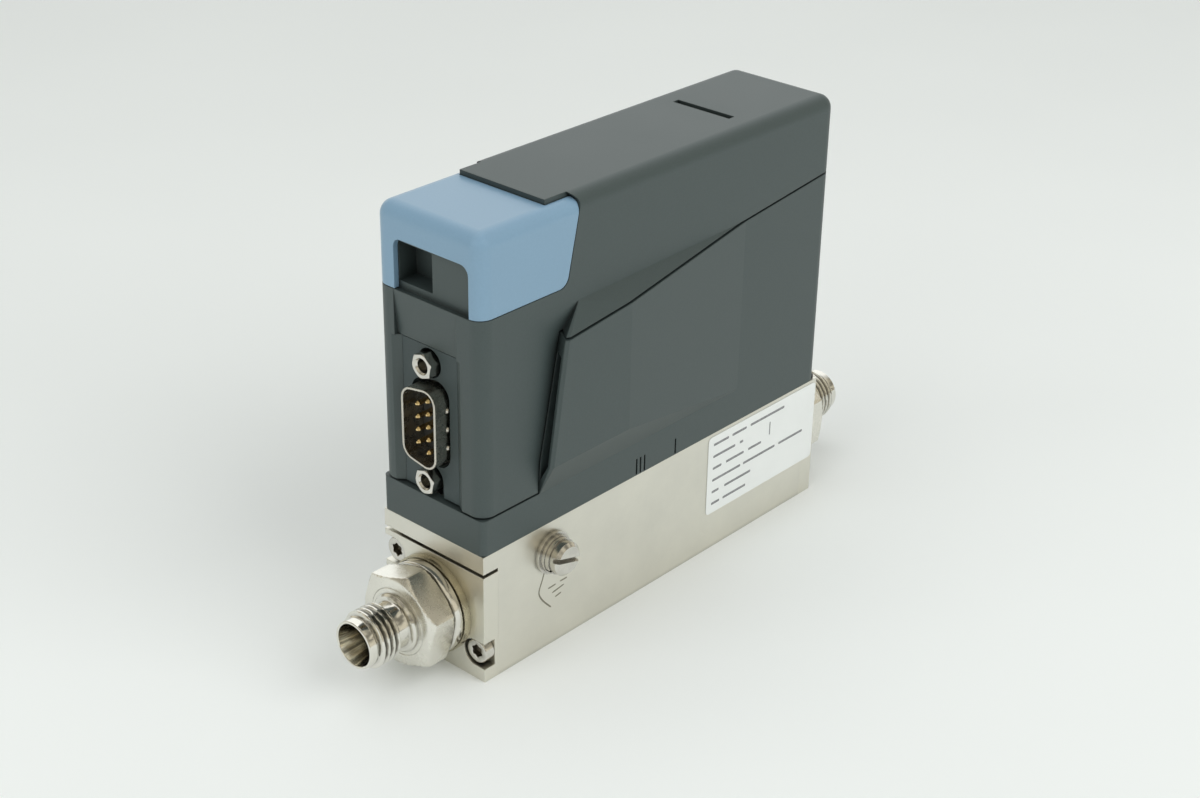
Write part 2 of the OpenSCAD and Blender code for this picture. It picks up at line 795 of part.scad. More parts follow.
module inlet_fitting() {
  color(steel_color) translate([-half_length, 0, port_height]) rotate([0, -90, 0]) tube_fitting(hex_turn);
}

module outlet_fitting() {
  color(steel_color) rotate([0, 0, 180])
    translate([-half_length, 0, port_height]) rotate([0, -90, 0]) tube_fitting(outlet_hex_turn);
}

module fitting_rings() {
  color(brass_color) for (turn = [0, 180]) rotate([0, 0, turn])
    translate([-half_length, 0, port_height]) rotate([0, -90, 0])
      ring(ring_radius, shank_radius + fit, ring_thickness);
}

// Flow element and filter in the main bore

module inlet_filter() {
  color("darkgray") translate([-body_half + filter_inset, 0, port_height]) along_x()
    cylinder(r = chamber_radius - fit, h = filter_thickness);
}

module filter_retainer() {
  color(screw_color) translate([-body_half + filter_inset + filter_thickness, 0, port_height]) along_x()
    ring(chamber_radius - fit, chamber_radius - 1.5, retainer_thickness);
}

// A plug pierced by rings of straight capillary channels
module flow_element() {
  color(screw_color) translate([sensor_x - element_length / 2, 0, port_height]) along_x()
    difference() {
      cylinder(r = chamber_radius - fit, h = element_length);
      for (row = [[2.4, 6], [5, 12]], i = [1:row[1]])
        rotate([0, 0, i * 360 / row[1]]) translate([row[0], 0, -over])
          cylinder(r = 0.6, h = element_length + 2 * over);
    }
}

// Thermal sensor on top of the block

module sensor_base() {
  color("silver") difference() {
    box_between([sensor_x - sensor_base_length / 2, -sensor_base_width / 2, block_height],
                [sensor_x + sensor_base_length / 2, sensor_base_width / 2, sensor_base_z]);
    for (x = [inlet_port_x, outlet_port_x]) translate([x, 0, block_height]) {
      translate([0, 0, -over]) cylinder(r = port_radius, h = 3 + over);
      cylinder(r = capillary_radius + fit, h = sensor_base_height + over);
      translate([0, 0, -fit]) ring(sensor_seal_radius + sensor_seal_wire + fit,
        sensor_seal_radius - sensor_seal_wire - fit, 2 * sensor_seal_wire + fit);
    }
    for (place = sensor_screw_places)
      hole_down(place[0], place[1], sensor_base_z, sensor_base_height + over, screw_hole);
  }
}

module sensor_seals() {
  color(rubber_color) for (x = [inlet_port_x, outlet_port_x])
    translate([x, 0, block_height + sensor_seal_wire])
      rotate_extrude() translate([sensor_seal_radius, 0]) circle(r = sensor_seal_wire - 0.01);
}

// A bridge of fine tube: two legs, two bends and a level run
module capillary(radius) {
  leg_low = block_height + 3;
  leg_high = capillary_z - bend_radius;
  run = sensor_span - 2 * bend_radius;
  for (side = [-1, 1]) {
    translate([sensor_x + side * sensor_span / 2, 0, leg_low]) cylinder(r = radius, h = leg_high - leg_low);
    translate([sensor_x + side * (sensor_span / 2 - bend_radius), 0, leg_high])
      rotate([90, 0, 0]) rotate([0, 0, side > 0 ? 0 : 90])
        rotate_extrude(angle = 90) translate([bend_radius, 0]) circle(r = radius);
  }
  translate([sensor_x - run / 2, 0, capillary_z]) along_x() cylinder(r = radius, h = run);
}

module sensor_tube() {
  color("lightgray") capillary(capillary_radius);
}

module sensor_windings() {
  color(copper_color) for (side = [-1, 1])
    translate([sensor_x + side * (winding_length / 2 + 0.6) - winding_length / 2, 0, capillary_z]) along_x()
      ring(capillary_radius + 0.5, capillary_radius + 0.02, winding_length);
}

module sensor_cover() {
  inner = [sensor_cover_length - 2 * sensor_cover_wall, sensor_cover_width - 2 * sensor_cover_wall];
  height = capillary_rise + 3 + sensor_cover_wall;
  color("gainsboro") difference() {
    translate([sensor_x - sensor_cover_length / 2, -sensor_cover_width / 2, sensor_base_z])
      linear_extrude(height) rounded_rectangle([sensor_cover_length, sensor_cover_width], 2);
    translate([sensor_x - inner[0] / 2, -inner[1] / 2, sensor_base_z - over])
      linear_extrude(height - sensor_cover_wall + over) rounded_rectangle(inner, 1);
  }
}

module sensor_screws() {
  color(screw_color) for (place = sensor_screw_places)
    translate([place[0], place[1], sensor_base_z])
      cap_screw(2.5, 2, screw_radius, sensor_base_height + sensor_screw_depth, 1);
}

// Proportional valve

module valve_seat() {
  color(brass_color) translate([valve_x, 0, seat_floor_z - seat_depth]) difference() {
    union() {
      cylinder(r = seat_radius, h = seat_depth);
      cylinder(r = orifice_radius + 0.9, h = seat_depth + seat_rise);
    }
    translate([0, 0, -over]) cylinder(r = orifice_radius, h = seat_depth + seat_rise + 2 * over);
  }
}

module valve_plunger() {
  color(screw_color) translate([valve_x, 0, 0]) difference() {
    translate([0, 0, plunger_z]) cylinder(r = plunger_radius, h = plunger_length);
    translate([0, 0, plunger_z - over]) cylinder(r = pad_radius + fit, h = 1.6 + over);
    translate([0, 0, plunger_top - spring_pocket_depth])
      cylinder(r = spring_pocket_radius, h = spring_pocket_depth + over);
    // Gas channels along the plunger
    for (turn = [0:120:240]) rotate([0, 0, turn])
      translate([plunger_radius, 0, plunger_z - over]) cylinder(r = 0.5, h = plunger_length + 2 * over);
  }
}

module valve_pad() {
  color(rubber_color) translate([valve_x, 0, pad_z]) cylinder(r = pad_radius, h = pad_proud + 1.6 - 0.01);
}

// A round wire wound in a helix between two heights
module helix(low, high, turns, radius, wire, around = 24, sides = 8) {
  count = turns * around;
  rise = high - low - 2 * wire;
  points = [for (i = [0:count], j = [0:sides - 1])
    let (turn = 360 * i / around, at = 360 * j / sides, r = radius + wire * cos(at))
    [r * cos(turn), r * sin(turn), low + wire + rise * i / count + wire * sin(at)]];
  walls = [for (i = [0:count - 1], j = [0:sides - 1])
    let (next = (j + 1) % sides)
    [i * sides + j, (i + 1) * sides + j, (i + 1) * sides + next, i * sides + next]];
  first = [for (j = [0:sides - 1]) j];
  last = [for (j = [sides - 1:-1:0]) count * sides + j];
  polyhedron(points, concat([first], walls, [last]), convexity = 8);
}

module valve_spring() {
  color("silver") translate([valve_x, 0, 0])
    helix(plunger_top - spring_pocket_depth + 0.02, core_z - 0.02, spring_turns, spring_radius, spring_wire, 16, 6);
}

// Guide tube with its foot flange, its fixed core and the stud on top
module guide_tube() {
  color("lightgray") translate([valve_x, 0, 0]) difference() {
    union() {
      translate([0, 0, guide_shoulder_z]) cylinder(r = guide_flange_radius, h = guide_flange_height);
      translate([0, 0, guide_shoulder_z]) cylinder(r = guide_radius, h = yoke_top - 0.1 - guide_shoulder_z);
      translate([0, 0, yoke_top - over]) cylinder(r = stud_radius, h = nut_height + 1 + over);
    }
    translate([0, 0, guide_shoulder_z - over]) cylinder(r = guide_bore, h = core_z - guide_shoulder_z + over);
    translate([0, 0, guide_shoulder_z + 1])
      ring(guide_flange_radius + over, guide_flange_radius - 1.2, 1.3);
  }
}

module guide_seal() {
  color(rubber_color) translate([valve_x, 0, guide_shoulder_z + 1.65])
    rotate_extrude() translate([guide_flange_radius - 0.6, 0]) circle(r = 0.58);
}

module guide_retainer() {
  color(screw_color) translate([valve_x, 0, guide_shoulder_z + guide_flange_height]) difference() {
    ring(guide_flange_radius, guide_radius + fit, block_height - guide_shoulder_z - guide_flange_height);
    for (turn = [0, 90]) rotate([0, 0, turn])
      translate([-guide_flange_radius - over, -0.6, 1.7]) cube([2 * guide_flange_radius + 2 * over, 1.2, 2]);
  }
}

module coil_bobbin() {
  bobbin_bore = guide_radius + 0.1;
  color("dimgray") translate([valve_x, 0, bobbin_z]) difference() {
    union() {
      cylinder(r = bobbin_bore + bobbin_wall, h = bobbin_height);
      for (z = [0, bobbin_height - bobbin_flange])
        translate([0, 0, z]) cylinder(r = bobbin_flange_radius, h = bobbin_flange);
    }
    translate([0, 0, -over]) cylinder(r = bobbin_bore, h = bobbin_height + 2 * over);
  }
}

module coil_winding() {
  color(copper_color) translate([valve_x, 0, bobbin_z + bobbin_flange])
    ring(coil_radius, guide_radius + 0.1 + bobbin_wall + 0.02, bobbin_height - 2 * bobbin_flange);
}

// Iron frame that closes the coil's field round both ends
module coil_yoke() {
  color("darkgray") difference() {
    translate([valve_x, 0, 0])
      box_between([-yoke_half_length, -yoke_half_width, block_height],
                  [yoke_half_length, yoke_half_width, yoke_top]);
    translate([valve_x, 0, 0])
      box_between([-yoke_half_length + yoke_wall, -yoke_half_width - over, bobbin_z],
                  [yoke_half_length - yoke_wall, yoke_half_width + over, yoke_top - yoke_wall]);
    translate([valve_x, 0, block_height - over])
      cylinder(r = guide_radius + fit, h = yoke_top - block_height + 2 * over);
  }
}

module coil_nut() {
  color(screw_color) translate([valve_x, 0, yoke_top]) difference() {
    hexagon(10, nut_height);
    translate([0, 0, -over]) cylinder(r = stud_radius + fit, h = nut_height + 2 * over);
  }
}

// Earth screw with its washers

module at_earth(y) {
  translate([earth_x, y, earth_height]) along_minus_y() children();
}

module earth_screw() {
  color(screw_color) at_earth(earth_head_y) difference() {
    union() {
      translate([0, 0, -earth_shank_length - lock_washer_thickness - 2 * earth_washer_thickness])
        cylinder(r = earth_shank_radius, h = earth_shank_length + lock_washer_thickness + 2 * earth_washer_thickness + over);
      rotate_extrude() polygon([
        [0, 0], [earth_head_radius, 0], [earth_head_radius, earth_head_height - 0.7],
        [earth_head_radius - 0.7, earth_head_height], [0, earth_head_height]
      ]);
    }
    rotate([0, 0, earth_slot_turn])
      translate([-earth_head_radius - over, -earth_slot_width / 2, earth_head_height - earth_slot_depth])
        cube([2 * earth_head_radius + 2 * over, earth_slot_width, earth_slot_depth + over]);
  }
}

module earth_lock_washer() {
  color(screw_color) at_earth(earth_lock_y) difference() {
    ring(earth_head_radius + 0.3, earth_shank_radius + 0.1, lock_washer_thickness);
    rotate([0, 0, 215]) translate([0, -0.35, -over]) cube([earth_head_radius + over, 0.7, lock_washer_thickness + 2 * over]);
  }
}

module earth_washer() {
  color(steel_color) at_earth(-half_width) for (step = [0, 1])
    translate([0, 0, step * earth_washer_thickness])
      ring(washer_radius - step * upper_washer_step, earth_shank_radius + 0.15, earth_washer_thickness);
}

// Lower housing

// Opening in the housing's floor, round the sensor, the valve and the bracket's foot
module floor_opening() {
  half_opening = max(yoke_half_width, sensor_base_width / 2) + 0.6;
  box_between([sensor_x - sensor_base_length / 2 - 0.4, -half_opening, block_height - over],
              [valve_x + yoke_half_length + 3, half_opening, block_height + ledge_height + over]);
  translate([valve_x, 0, block_height - over])
    cylinder(r = bobbin_flange_radius + floor_gap, h = ledge_height + 2 * over);
  box_between([bracket_x - 0.3, -bracket_foot_width / 2 - 0.5, block_height - over],
              [sensor_x, bracket_foot_width / 2 + 0.5, block_height + ledge_height + over]);
}

module housing_base() {
  color(dark_color) difference() {
    union() {
      intersection() {
        difference() {
          base_form();
          housing_form(housing_wall, housing_wall);
        }
        lower_region(0);
      }
      difference() {
        intersection() {
          base_form();
          box_between([front_x, -half_width, block_height], [rear_x, half_width, block_height + ledge_height]);
        }
        floor_opening();
      }
      intersection() {
        both_sides() side_panel();
        under_seam(0);
      }
    }
    both_sides() side_duct();
    gasket_ring(fit, gasket_height + fit);
    for (place = housing_screw_places)
      hole_down(place[0], place[1], block_height + ledge_height, ledge_height + over, screw_hole);
    for (slit = slit_places)
      translate([front_x + slit[0], -half_width - over, block_height + 0.2])
        cube([slit_width, slit_depth + over, slit[1] - 0.2]);
  }
}

// Full-height block with tight front corners and wide rear corners
module base_form() {
  translate([front_x, -half_width, block_height]) linear_extrude(housing_height) {
    rounded_rectangle([half_length, block_width], base_front_radius);
    translate([half_length / 2, 0]) rounded_rectangle([half_length * 1.5, block_width], edge_radius);
  }
}

// Square-section seal round the foot of the housing
module gasket_ring(gap, height) {
  outer = gasket_inset - gap;
  inner = gasket_inset + gasket_width + gap;
  difference() {
    box_between([front_x + outer, -half_width + outer, block_height],
                [rear_x - outer, half_width - outer, block_height + height]);
    box_between([front_x + inner, -half_width + inner, block_height - over],
                [rear_x - inner, half_width - inner, block_height + height + over]);
  }
}

module housing_gasket() {
  color(rubber_color) gasket_ring(0, gasket_height);
}

module housing_screws() {
  color(screw_color) for (place = housing_screw_places)
    translate([place[0], place[1], block_height + ledge_height])
      cap_screw(flange_head_radius - 0.1, 2, screw_radius, ledge_height + housing_screw_depth, 1);
}

// Upper cover

// Space that the front cap takes, seen from the side and over the top
module cap_zone(gap) {
  far = half_width + over;
  low = cap_base_z - gap;
  high = housing_top + over;
  inner_side = half_width - wing_depth - gap;
  wing = rounded([
    [front_x - over, low],
    [front_x + wing_foot_length + gap, low],
    [front_x + wing_top_length + gap, housing_top - 1.4],
    [front_x + wing_top_length - 2, high],
    [front_x - over, high]
  ], [0, 2.5, 1.2, 0, 0]);
  intersection() {
    side_prism(wing, -far, far);
    union() {
      box_between([front_x - over, -far, low], [cap_back_x + gap, far, high]);
      for (side = [0, 1]) mirror([0, side, 0])
        box_between([front_x - over, inner_side, low], [front_x + block_length / 2, far, high]);
    }
  }
}

// Channel in the front face for the connector, with sloped walls and a sloped head
module front_channel() {
  half_floor = channel_width / 2;
  translate([0, connector_side, 0]) {
    translate([0, 0, band_top - over]) linear_extrude(plate_top_z - band_top + over) polygon([
      [front_x - over, -half_floor - channel_slope * 2], [front_x + channel_depth, -half_floor],
      [front_x + channel_depth, half_floor], [front_x - over, half_floor + channel_slope * 2]
    ]);
    side_prism([
      [front_x + channel_depth, plate_top_z - 0.01], [front_x - over, plate_top_z - 0.01],
      [front_x - over, cap_base_z], [front_x, cap_base_z]
    ], -half_floor - channel_slope / 2, half_floor + channel_slope / 2);
  }
}

module housing_cover() {
  color(dark_color) difference() {
    union() {
      difference() {
        housing_form(0, 0);
        lower_region(seam_gap);
        // Rebate under the cap
        difference() {
          cap_zone(cap_clearance);
          housing_form(cap_inset, cap_drop + cap_inset);
        }
        // Hollow inside, with a thicker front end under the cap
        difference() {
          housing_form(housing_wall, housing_wall);
          box_between([front_x, -half_width, cap_base_z - 2.5],
                      [front_x + wing_top_length + 2, half_width, housing_top]);
        }
        intersection() {
          housing_form(cap_cavity_inset, cap_drop + cap_cavity_inset);
          box_between([front_x, -half_width, cap_base_z - 3],
                      [front_x + wing_top_length + 3, half_width, housing_top]);
        }
      }
      // Box that closes the pocket, and bosses for the cover screws
      box_between([cap_inner_x - fit, window_far - pocket_width - pocket_wall, pocket_low_z - pocket_wall],
                  [cap_face_x + pocket_depth + pocket_wall, window_far + pocket_wall, pocket_high_z + pocket_wall]);
      for (side = [-1, 1]) translate([cap_inner_x - fit, side * cover_screw_side, cover_screw_z]) along_x()
        cylinder(r = cover_boss_radius, h = bracket_x - cap_inner_x);
      // Sloped heads of the side panels above the seam
      difference() {
        both_sides() side_panel();
        under_seam(seam_gap);
      }
    }
    front_channel();
    // Window in the channel's floor for the connector plate
    box_between([front_x, connector_side - channel_width / 2 + fit, block_height],
                [front_x + cap_cavity_inset + over, connector_side + channel_width / 2 - fit, plate_top_z]);
    box_between([cap_face_x - over, window_far - pocket_width, pocket_low_z],
                [cap_face_x + pocket_depth, window_far, pocket_high_z]);
    for (side = [-1, 1]) translate([cap_face_x - over, side * cover_screw_side, cover_screw_z]) along_x() {
      cylinder(r = cover_screw_radius + fit, h = 10);
      cylinder(r = cover_head_radius + fit, h = cover_head_height + fit + over);
    }
    top_notch();
  }
}

// Small wedge-shaped notch across the top
module top_notch() {
  x = rear_x - top_notch_inset;
  side_prism([[x - notch_width, housing_top + over], [x - notch_width, housing_top],
              [x, housing_top - notch_depth], [x, housing_top + over]],
             -top_notch_length / 2, top_notch_length / 2);
}

module cover_screws() {
  color(screw_color) for (side = [-1, 1])
    translate([cap_face_x + cover_head_height, side * cover_screw_side, cover_screw_z]) rotate([0, -90, 0])
      cap_screw(cover_head_radius, cover_head_height - fit, cover_screw_radius,
                bracket_x + bracket_thickness + 1 - cap_face_x - cover_head_height, 0.7);
}

// Light cap over the front end, with its side wings and its window
module front_cap() {
  window = rounded([
    [-window_near, cap_base_z - over], [window_far, cap_base_z - over],
    [window_far, window_top_z], [-window_near, window_top_z]
  ], [0, 0, 1.8, 2]);
  color(blue_color) difference() {
    intersection() {
      cap_zone(0);
      housing_form(0, cap_drop);
    }
    housing_form(cap_wall, cap_drop + cap_wall);
    translate([front_x - over, 0, 0]) rotate([90, 0, 90]) linear_extrude(cap_wall + 2 * over) polygon(window);
  }
}

// Connector group

// The connector's D outline, wider towards -Y, grown by an amount
function d_outline(grow, end_grow) =
  let (
    half = shell_width / 2 + grow,
    long = shell_length / 2 + end_grow,
    short = long - 2 * half * tan(10)
  )
  rounded([[-half, -long], [half, -short], [half, short], [-half, long]],
          [2.4 + grow, 2.4 + grow, 2.4 + grow, 2.4 + grow]);

module d_prism(grow, end_grow, low_x, high_x) {
  translate([low_x, connector_side, connector_z]) rotate([90, 0, 90])
    linear_extrude(high_x - low_x) polygon(d_outline(grow, end_grow));
}

// Places something at each jackscrew
module at_jacks(x) {
  for (side = [-1, 1]) translate([x, connector_side, connector_z + side * jack_spacing / 2]) along_x() children();
}

// Plate in the channel, with a wider flange caught behind the cover's front wall
module connector_plate() {
  half = channel_width / 2 - 2 * fit;
  half_flange = half + plate_overlap;
  jack_hole = jack_width / 2 / cos(30) + 0.3;
  low_z = band_top + seam_gap;
  flange_x = front_x + housing_wall + fit;
  color(dark_color) difference() {
    union() {
      box_between([plate_x, connector_side - half, low_z],
                  [flange_x + fit, connector_side + half, plate_top_z - 2 * fit]);
      box_between([flange_x, connector_side - half_flange, low_z],
                  [connector_flange_x, connector_side + half_flange, plate_top_z + plate_overlap]);
    }
    d_prism(shell_wall + plate_side_gap, shell_wall + plate_end_gap, plate_x - over, connector_flange_x + over);
    at_jacks(plate_x - over) cylinder(r = jack_hole, h = connector_flange_x - plate_x + 2 * over);
    // The lower jackscrew's hole is open to the plate's lower edge
    box_between([plate_x - over, connector_side - jack_hole, low_z - over],
                [connector_flange_x + over, connector_side + jack_hole, connector_z - jack_spacing / 2]);
  }
}

// Sheet-metal post that carries the connector and the front of the cover
module connector_bracket() {
  half = half_width - cap_cavity_inset - bracket_side_gap;
  top = housing_top - cap_drop - cap_cavity_inset - bracket_side_gap;
  low_wide = block_height + ledge_height + 0.4;
  back = bracket_x + bracket_thickness;
  color("silver") difference() {
    union() {
      box_between([bracket_x, -half, low_wide], [back, half, top]);
      box_between([bracket_x, -bracket_foot_width / 2, block_height], [back, bracket_foot_width / 2, low_wide + over]);
      box_between([bracket_x, -bracket_foot_width / 2, block_height],
                  [bracket_x + bracket_foot_length, bracket_foot_width / 2, block_height + bracket_thickness]);
    }
    box_between([bracket_x - over, connector_side - insulator_half_width - 0.2, connector_z - insulator_half_height - 0.2],
                [back + over, connector_side + insulator_half_width + 0.2, connector_z + insulator_half_height + 0.2]);
    box_between([bracket_x - over, window_far - pocket_width - pocket_wall - 0.2, pocket_low_z - pocket_wall - 0.2],
                [back + over, window_far + pocket_wall + 0.2, pocket_high_z + pocket_wall + 0.2]);
    at_jacks(bracket_x - over) cylinder(r = jack_stud_radius + fit, h = bracket_thickness + 2 * over);
    for (side = [-1, 1]) translate([bracket_x - over, side * cover_screw_side, cover_screw_z]) along_x()
      cylinder(r = cover_screw_radius + fit, h = bracket_thickness + 2 * over);
    for (place = bracket_screw_places)
      hole_down(place[0], place[1], block_height + bracket_thickness, bracket_thickness + over, bracket_screw_radius + fit);
  }
}

module bracket_screws() {
  color(screw_color) for (place = bracket_screw_places)
    translate([place[0], place[1], block_height + bracket_thickness])
      cap_screw(bracket_head_radius, 1.8, bracket_screw_radius, bracket_thickness + bracket_screw_depth, 0.9);
}

module connector_shell() {
  half_width_y = connector_flange_width / 2;
  half_length_z = connector_flange_length / 2;
  back = connector_flange_x + connector_flange_thickness;
  color(screw_color) difference() {
    union() {
      d_prism(shell_wall, shell_wall, shell_face_x, connector_flange_x + fit);
      translate([connector_flange_x, connector_side - half_width_y, connector_z - half_length_z])
        rotate([90, 0, 90]) linear_extrude(connector_flange_thickness)
          rounded_rectangle([connector_flange_width, connector_flange_length], 1);
      // Small contact bumps along both sides of the shell
      for (side = [-1, 1], i = [-1:1])
        translate([bump_x, connector_side + side * (shell_width / 2 + shell_wall - fit), connector_z + i * bump_pitch])
          rotate([-90 * side, 0, 0]) cylinder(r1 = bump_radius, r2 = bump_radius / 2, h = bump_rise + fit);
    }
    d_prism(0, 0, shell_face_x - over, back + over);
    at_jacks(connector_flange_x - over) cylinder(r = jack_stud_radius + fit, h = connector_flange_thickness + 2 * over);
  }
}

function pin_places() = concat(
  [for (i = [-2:2]) [connector_side - row_pitch / 2, connector_z + i * pin_pitch]],
  [for (i = [-1.5:1.5]) [connector_side + row_pitch / 2, connector_z + i * pin_pitch]]
);

module connector_insulator() {
  color("black") difference() {
    union() {
      d_prism(-fit, -fit, connector_flange_x - insulator_rise, bracket_x + fit);
      box_between([bracket_x, connector_side - insulator_half_width, connector_z - insulator_half_height],
                  [insulator_end_x, connector_side + insulator_half_width, connector_z + insulator_half_height]);
    }
    for (place = pin_places()) translate([connector_flange_x - 2, place[0], place[1]]) along_x()
      cylinder(r = pin_radius + 0.02, h = 10);
  }
}

module connector_pins() {
  tip = 0.5;
  low_x = shell_face_x + 0.8;
  high_x = connector_board_x + board_thickness + 0.8;
  color("gold") for (place = pin_places()) translate([low_x, place[0], place[1]]) along_x() {
    cylinder(r1 = pin_radius * 0.4, r2 = pin_radius, h = tip);
    translate([0, 0, tip]) cylinder(r = pin_radius, h = high_x - low_x - tip);
  }
}

module jackscrews() {
  color(screw_color) at_jacks(connector_flange_x - jack_length) difference() {
    union() {
      intersection() {
        rotate([0, 0, 12]) hexagon(jack_width, jack_length);
        cylinder(r1 = jack_width / 2 + 0.05, r2 = jack_width / 2 + 0.05 + 2 * jack_length, h = jack_length);
      }
      translate([0, 0, jack_length]) cylinder(r = jack_stud_radius, h = jack_stud_length);
    }
    translate([0, 0, -over]) cylinder(r = jack_bore_radius, h = jack_length - 0.5 + over);
    translate([0, 0, -fit]) cylinder(r1 = jack_bore_radius + 0.4, r2 = jack_bore_radius, h = 0.4 + fit);
  }
}

module jack_nuts() {
  color(screw_color) at_jacks(bracket_x + bracket_thickness) difference() {
    hexagon(jack_width, jack_nut_height);
    translate([0, 0, -over]) cylinder(r = jack_stud_radius + fit, h = jack_nut_height + 2 * over);
  }
}

module connector_board() {
  color(board_color) difference() {
    box_between([connector_board_x, connector_side - connector_board_half_width, connector_z - connector_board_low],
                [connector_board_x + board_thickness, connector_side + connector_board_half_width,
                 connector_z + connector_board_high]);
    for (place = pin_places()) translate([connector_board_x - over, place[0], place[1]]) along_x()
      cylinder(r = pin_radius + 0.02, h = board_thickness + 2 * over);
  }
}

// Main board on the inner face of the +Y panel

module at_spacers(y) {
  for (place = spacer_places) translate([place[0], y, place[1]]) along_minus_y() children();
}

module main_board() {
  color(board_color) difference() {
    box_between([board_low_x, board_inner_y, board_low_z], [board_high_x, board_face_y, board_high_z]);
    at_spacers(board_face_y + over) cylinder(r = board_screw_radius + fit, h = board_thickness + 2 * over);
  }
}

module board_spacers() {
  color(brass_color) at_spacers(inner_half_width) difference() {
    cylinder(r = 2.2, h = spacer_length);
    translate([0, 0, 0.5]) cylinder(r = board_screw_radius + fit, h = spacer_length);
  }
}

module board_screws() {
  color(screw_color) at_spacers(board_inner_y)
    cap_screw(1.9, 1.2, board_screw_radius, board_thickness + spacer_length - 0.7, 0.6);
}

// Flat packages on the board: distance from the board's corner, and their size
module circuit_packages() {
  packages = [[20, 12, 12, 12, 1.4], [38, 14, 8, 6, 1.2], [50, 12, 6, 5, 1.2]];
  color([0.12, 0.12, 0.13]) for (p = packages)
    box_between([board_low_x + p[0], board_inner_y - p[4], board_low_z + p[1]],
                [board_low_x + p[0] + p[2], board_inner_y, board_low_z + p[1] + p[3]]);
}

module capacitors() {
  color("steelblue") for (i = [0:2])
    translate([board_high_x - 17 + i * 7, board_inner_y, board_high_z - 6]) along_minus_y() cylinder(r = 3, h = 7);
}

module plug_headers() {
  color("ivory") for (x = [board_low_x + 11, valve_x + 4])
    box_between([x, board_inner_y - 4, board_low_z + 1], [x + 9, board_inner_y, board_low_z + 6]);
}

// Flat cable from the connector board to the main board
module flat_cable() {
  low_z = connector_z + cable_rise;
  color("lightgray") box_between([connector_board_x + board_thickness, board_inner_y - cable_thickness, low_z],
                                 [board_low_x + cable_lap, board_inner_y, low_z + cable_width]);
}

module side_label() {
  color("white") translate([rear_x - label_inset - label_length, -half_width, block_height - label_drop - label_height])
    rotate([90, 0, 0]) linear_extrude(label_thickness) rounded_rectangle([label_length, label_height], 1);
}

base_block();
inlet_flange();
outlet_flange();
flange_screws();
flange_seals();
inlet_fitting();
outlet_fitting();
fitting_rings();
inlet_filter();
filter_retainer();
flow_element();
sensor_base();
sensor_seals();
sensor_tube();
sensor_windings();
sensor_cover();
sensor_screws();
valve_seat();
valve_plunger();
valve_pad();
valve_spring();
guide_tube();
guide_seal();
guide_retainer();
coil_bobbin();
coil_winding();
coil_yoke();
coil_nut();
earth_screw();
earth_lock_washer();
earth_washer();
housing_base();
housing_gasket();
housing_screws();
housing_cover();
cover_screws();
front_cap();
connector_plate();
connector_bracket();
bracket_screws();
connector_shell();
connector_insulator();
connector_pins();
jackscrews();
jack_nuts();
connector_board();
main_board();
board_spacers();
board_screws();
circuit_packages();
capacitors();
plug_headers();
flat_cable();
side_label();
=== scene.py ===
import math

import bmesh
import bpy
from mathutils import Matrix, Vector


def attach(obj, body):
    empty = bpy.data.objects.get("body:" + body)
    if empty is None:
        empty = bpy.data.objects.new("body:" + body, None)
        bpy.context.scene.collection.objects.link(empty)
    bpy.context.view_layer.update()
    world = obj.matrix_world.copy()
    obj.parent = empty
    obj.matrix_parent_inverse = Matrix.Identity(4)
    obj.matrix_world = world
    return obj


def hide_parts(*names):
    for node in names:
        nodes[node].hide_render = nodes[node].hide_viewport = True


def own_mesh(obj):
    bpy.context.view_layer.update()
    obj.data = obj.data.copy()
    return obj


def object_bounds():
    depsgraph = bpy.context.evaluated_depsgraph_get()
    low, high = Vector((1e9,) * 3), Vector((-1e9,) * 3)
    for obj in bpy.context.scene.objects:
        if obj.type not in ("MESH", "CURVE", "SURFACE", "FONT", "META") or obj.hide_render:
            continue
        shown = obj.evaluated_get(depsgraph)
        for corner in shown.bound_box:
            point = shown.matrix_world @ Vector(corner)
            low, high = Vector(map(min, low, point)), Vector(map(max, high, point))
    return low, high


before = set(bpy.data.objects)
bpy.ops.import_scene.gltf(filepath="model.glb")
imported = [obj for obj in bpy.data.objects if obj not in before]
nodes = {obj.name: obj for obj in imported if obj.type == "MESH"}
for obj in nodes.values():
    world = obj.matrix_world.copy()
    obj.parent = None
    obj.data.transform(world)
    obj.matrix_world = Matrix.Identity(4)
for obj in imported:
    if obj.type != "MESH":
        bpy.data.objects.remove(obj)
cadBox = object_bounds()
print("frame loaded:", len(nodes), "parts")

mm = 0.001  # every size below is in millimetres and is turned into metres with this


# camera

cameraSetup = {
    "place": (-283.47, -247.59, 234.1),
    "turn": -48.38,          # degrees round the controller, 0 looks at its -Y side
    "rise": 27.47,           # degrees above the floor
    "roll": 1.05,
    "lens": 60.04,
    "sensor": 36.0,
    "clip": (0.01, 20),      # metres
}


def addCamera(setup):
    turn, rise, roll = (math.radians(setup[angle]) for angle in ("turn", "rise", "roll"))
    back = Vector((math.sin(turn) * math.cos(rise), -math.cos(turn) * math.cos(rise), math.sin(rise)))
    right = Vector((0, 0, 1)).cross(back).normalized()
    up = back.cross(right)
    rightRolled = math.cos(roll) * right + math.sin(roll) * up
    upRolled = -math.sin(roll) * right + math.cos(roll) * up
    data = bpy.data.cameras.new("productCamera")
    data.lens = setup["lens"]
    data.sensor_width = setup["sensor"]
    data.clip_start, data.clip_end = setup["clip"]
    camera = bpy.data.objects.new("productCamera", data)
    bpy.context.scene.collection.objects.link(camera)
    world = Matrix((rightRolled, upRolled, back)).transposed().to_4x4()
    world.translation = Vector(setup["place"]) * mm
    camera.matrix_world = world
    bpy.context.scene.camera = camera


addCamera(cameraSetup)
print("camera set")


# small helpers for node trees

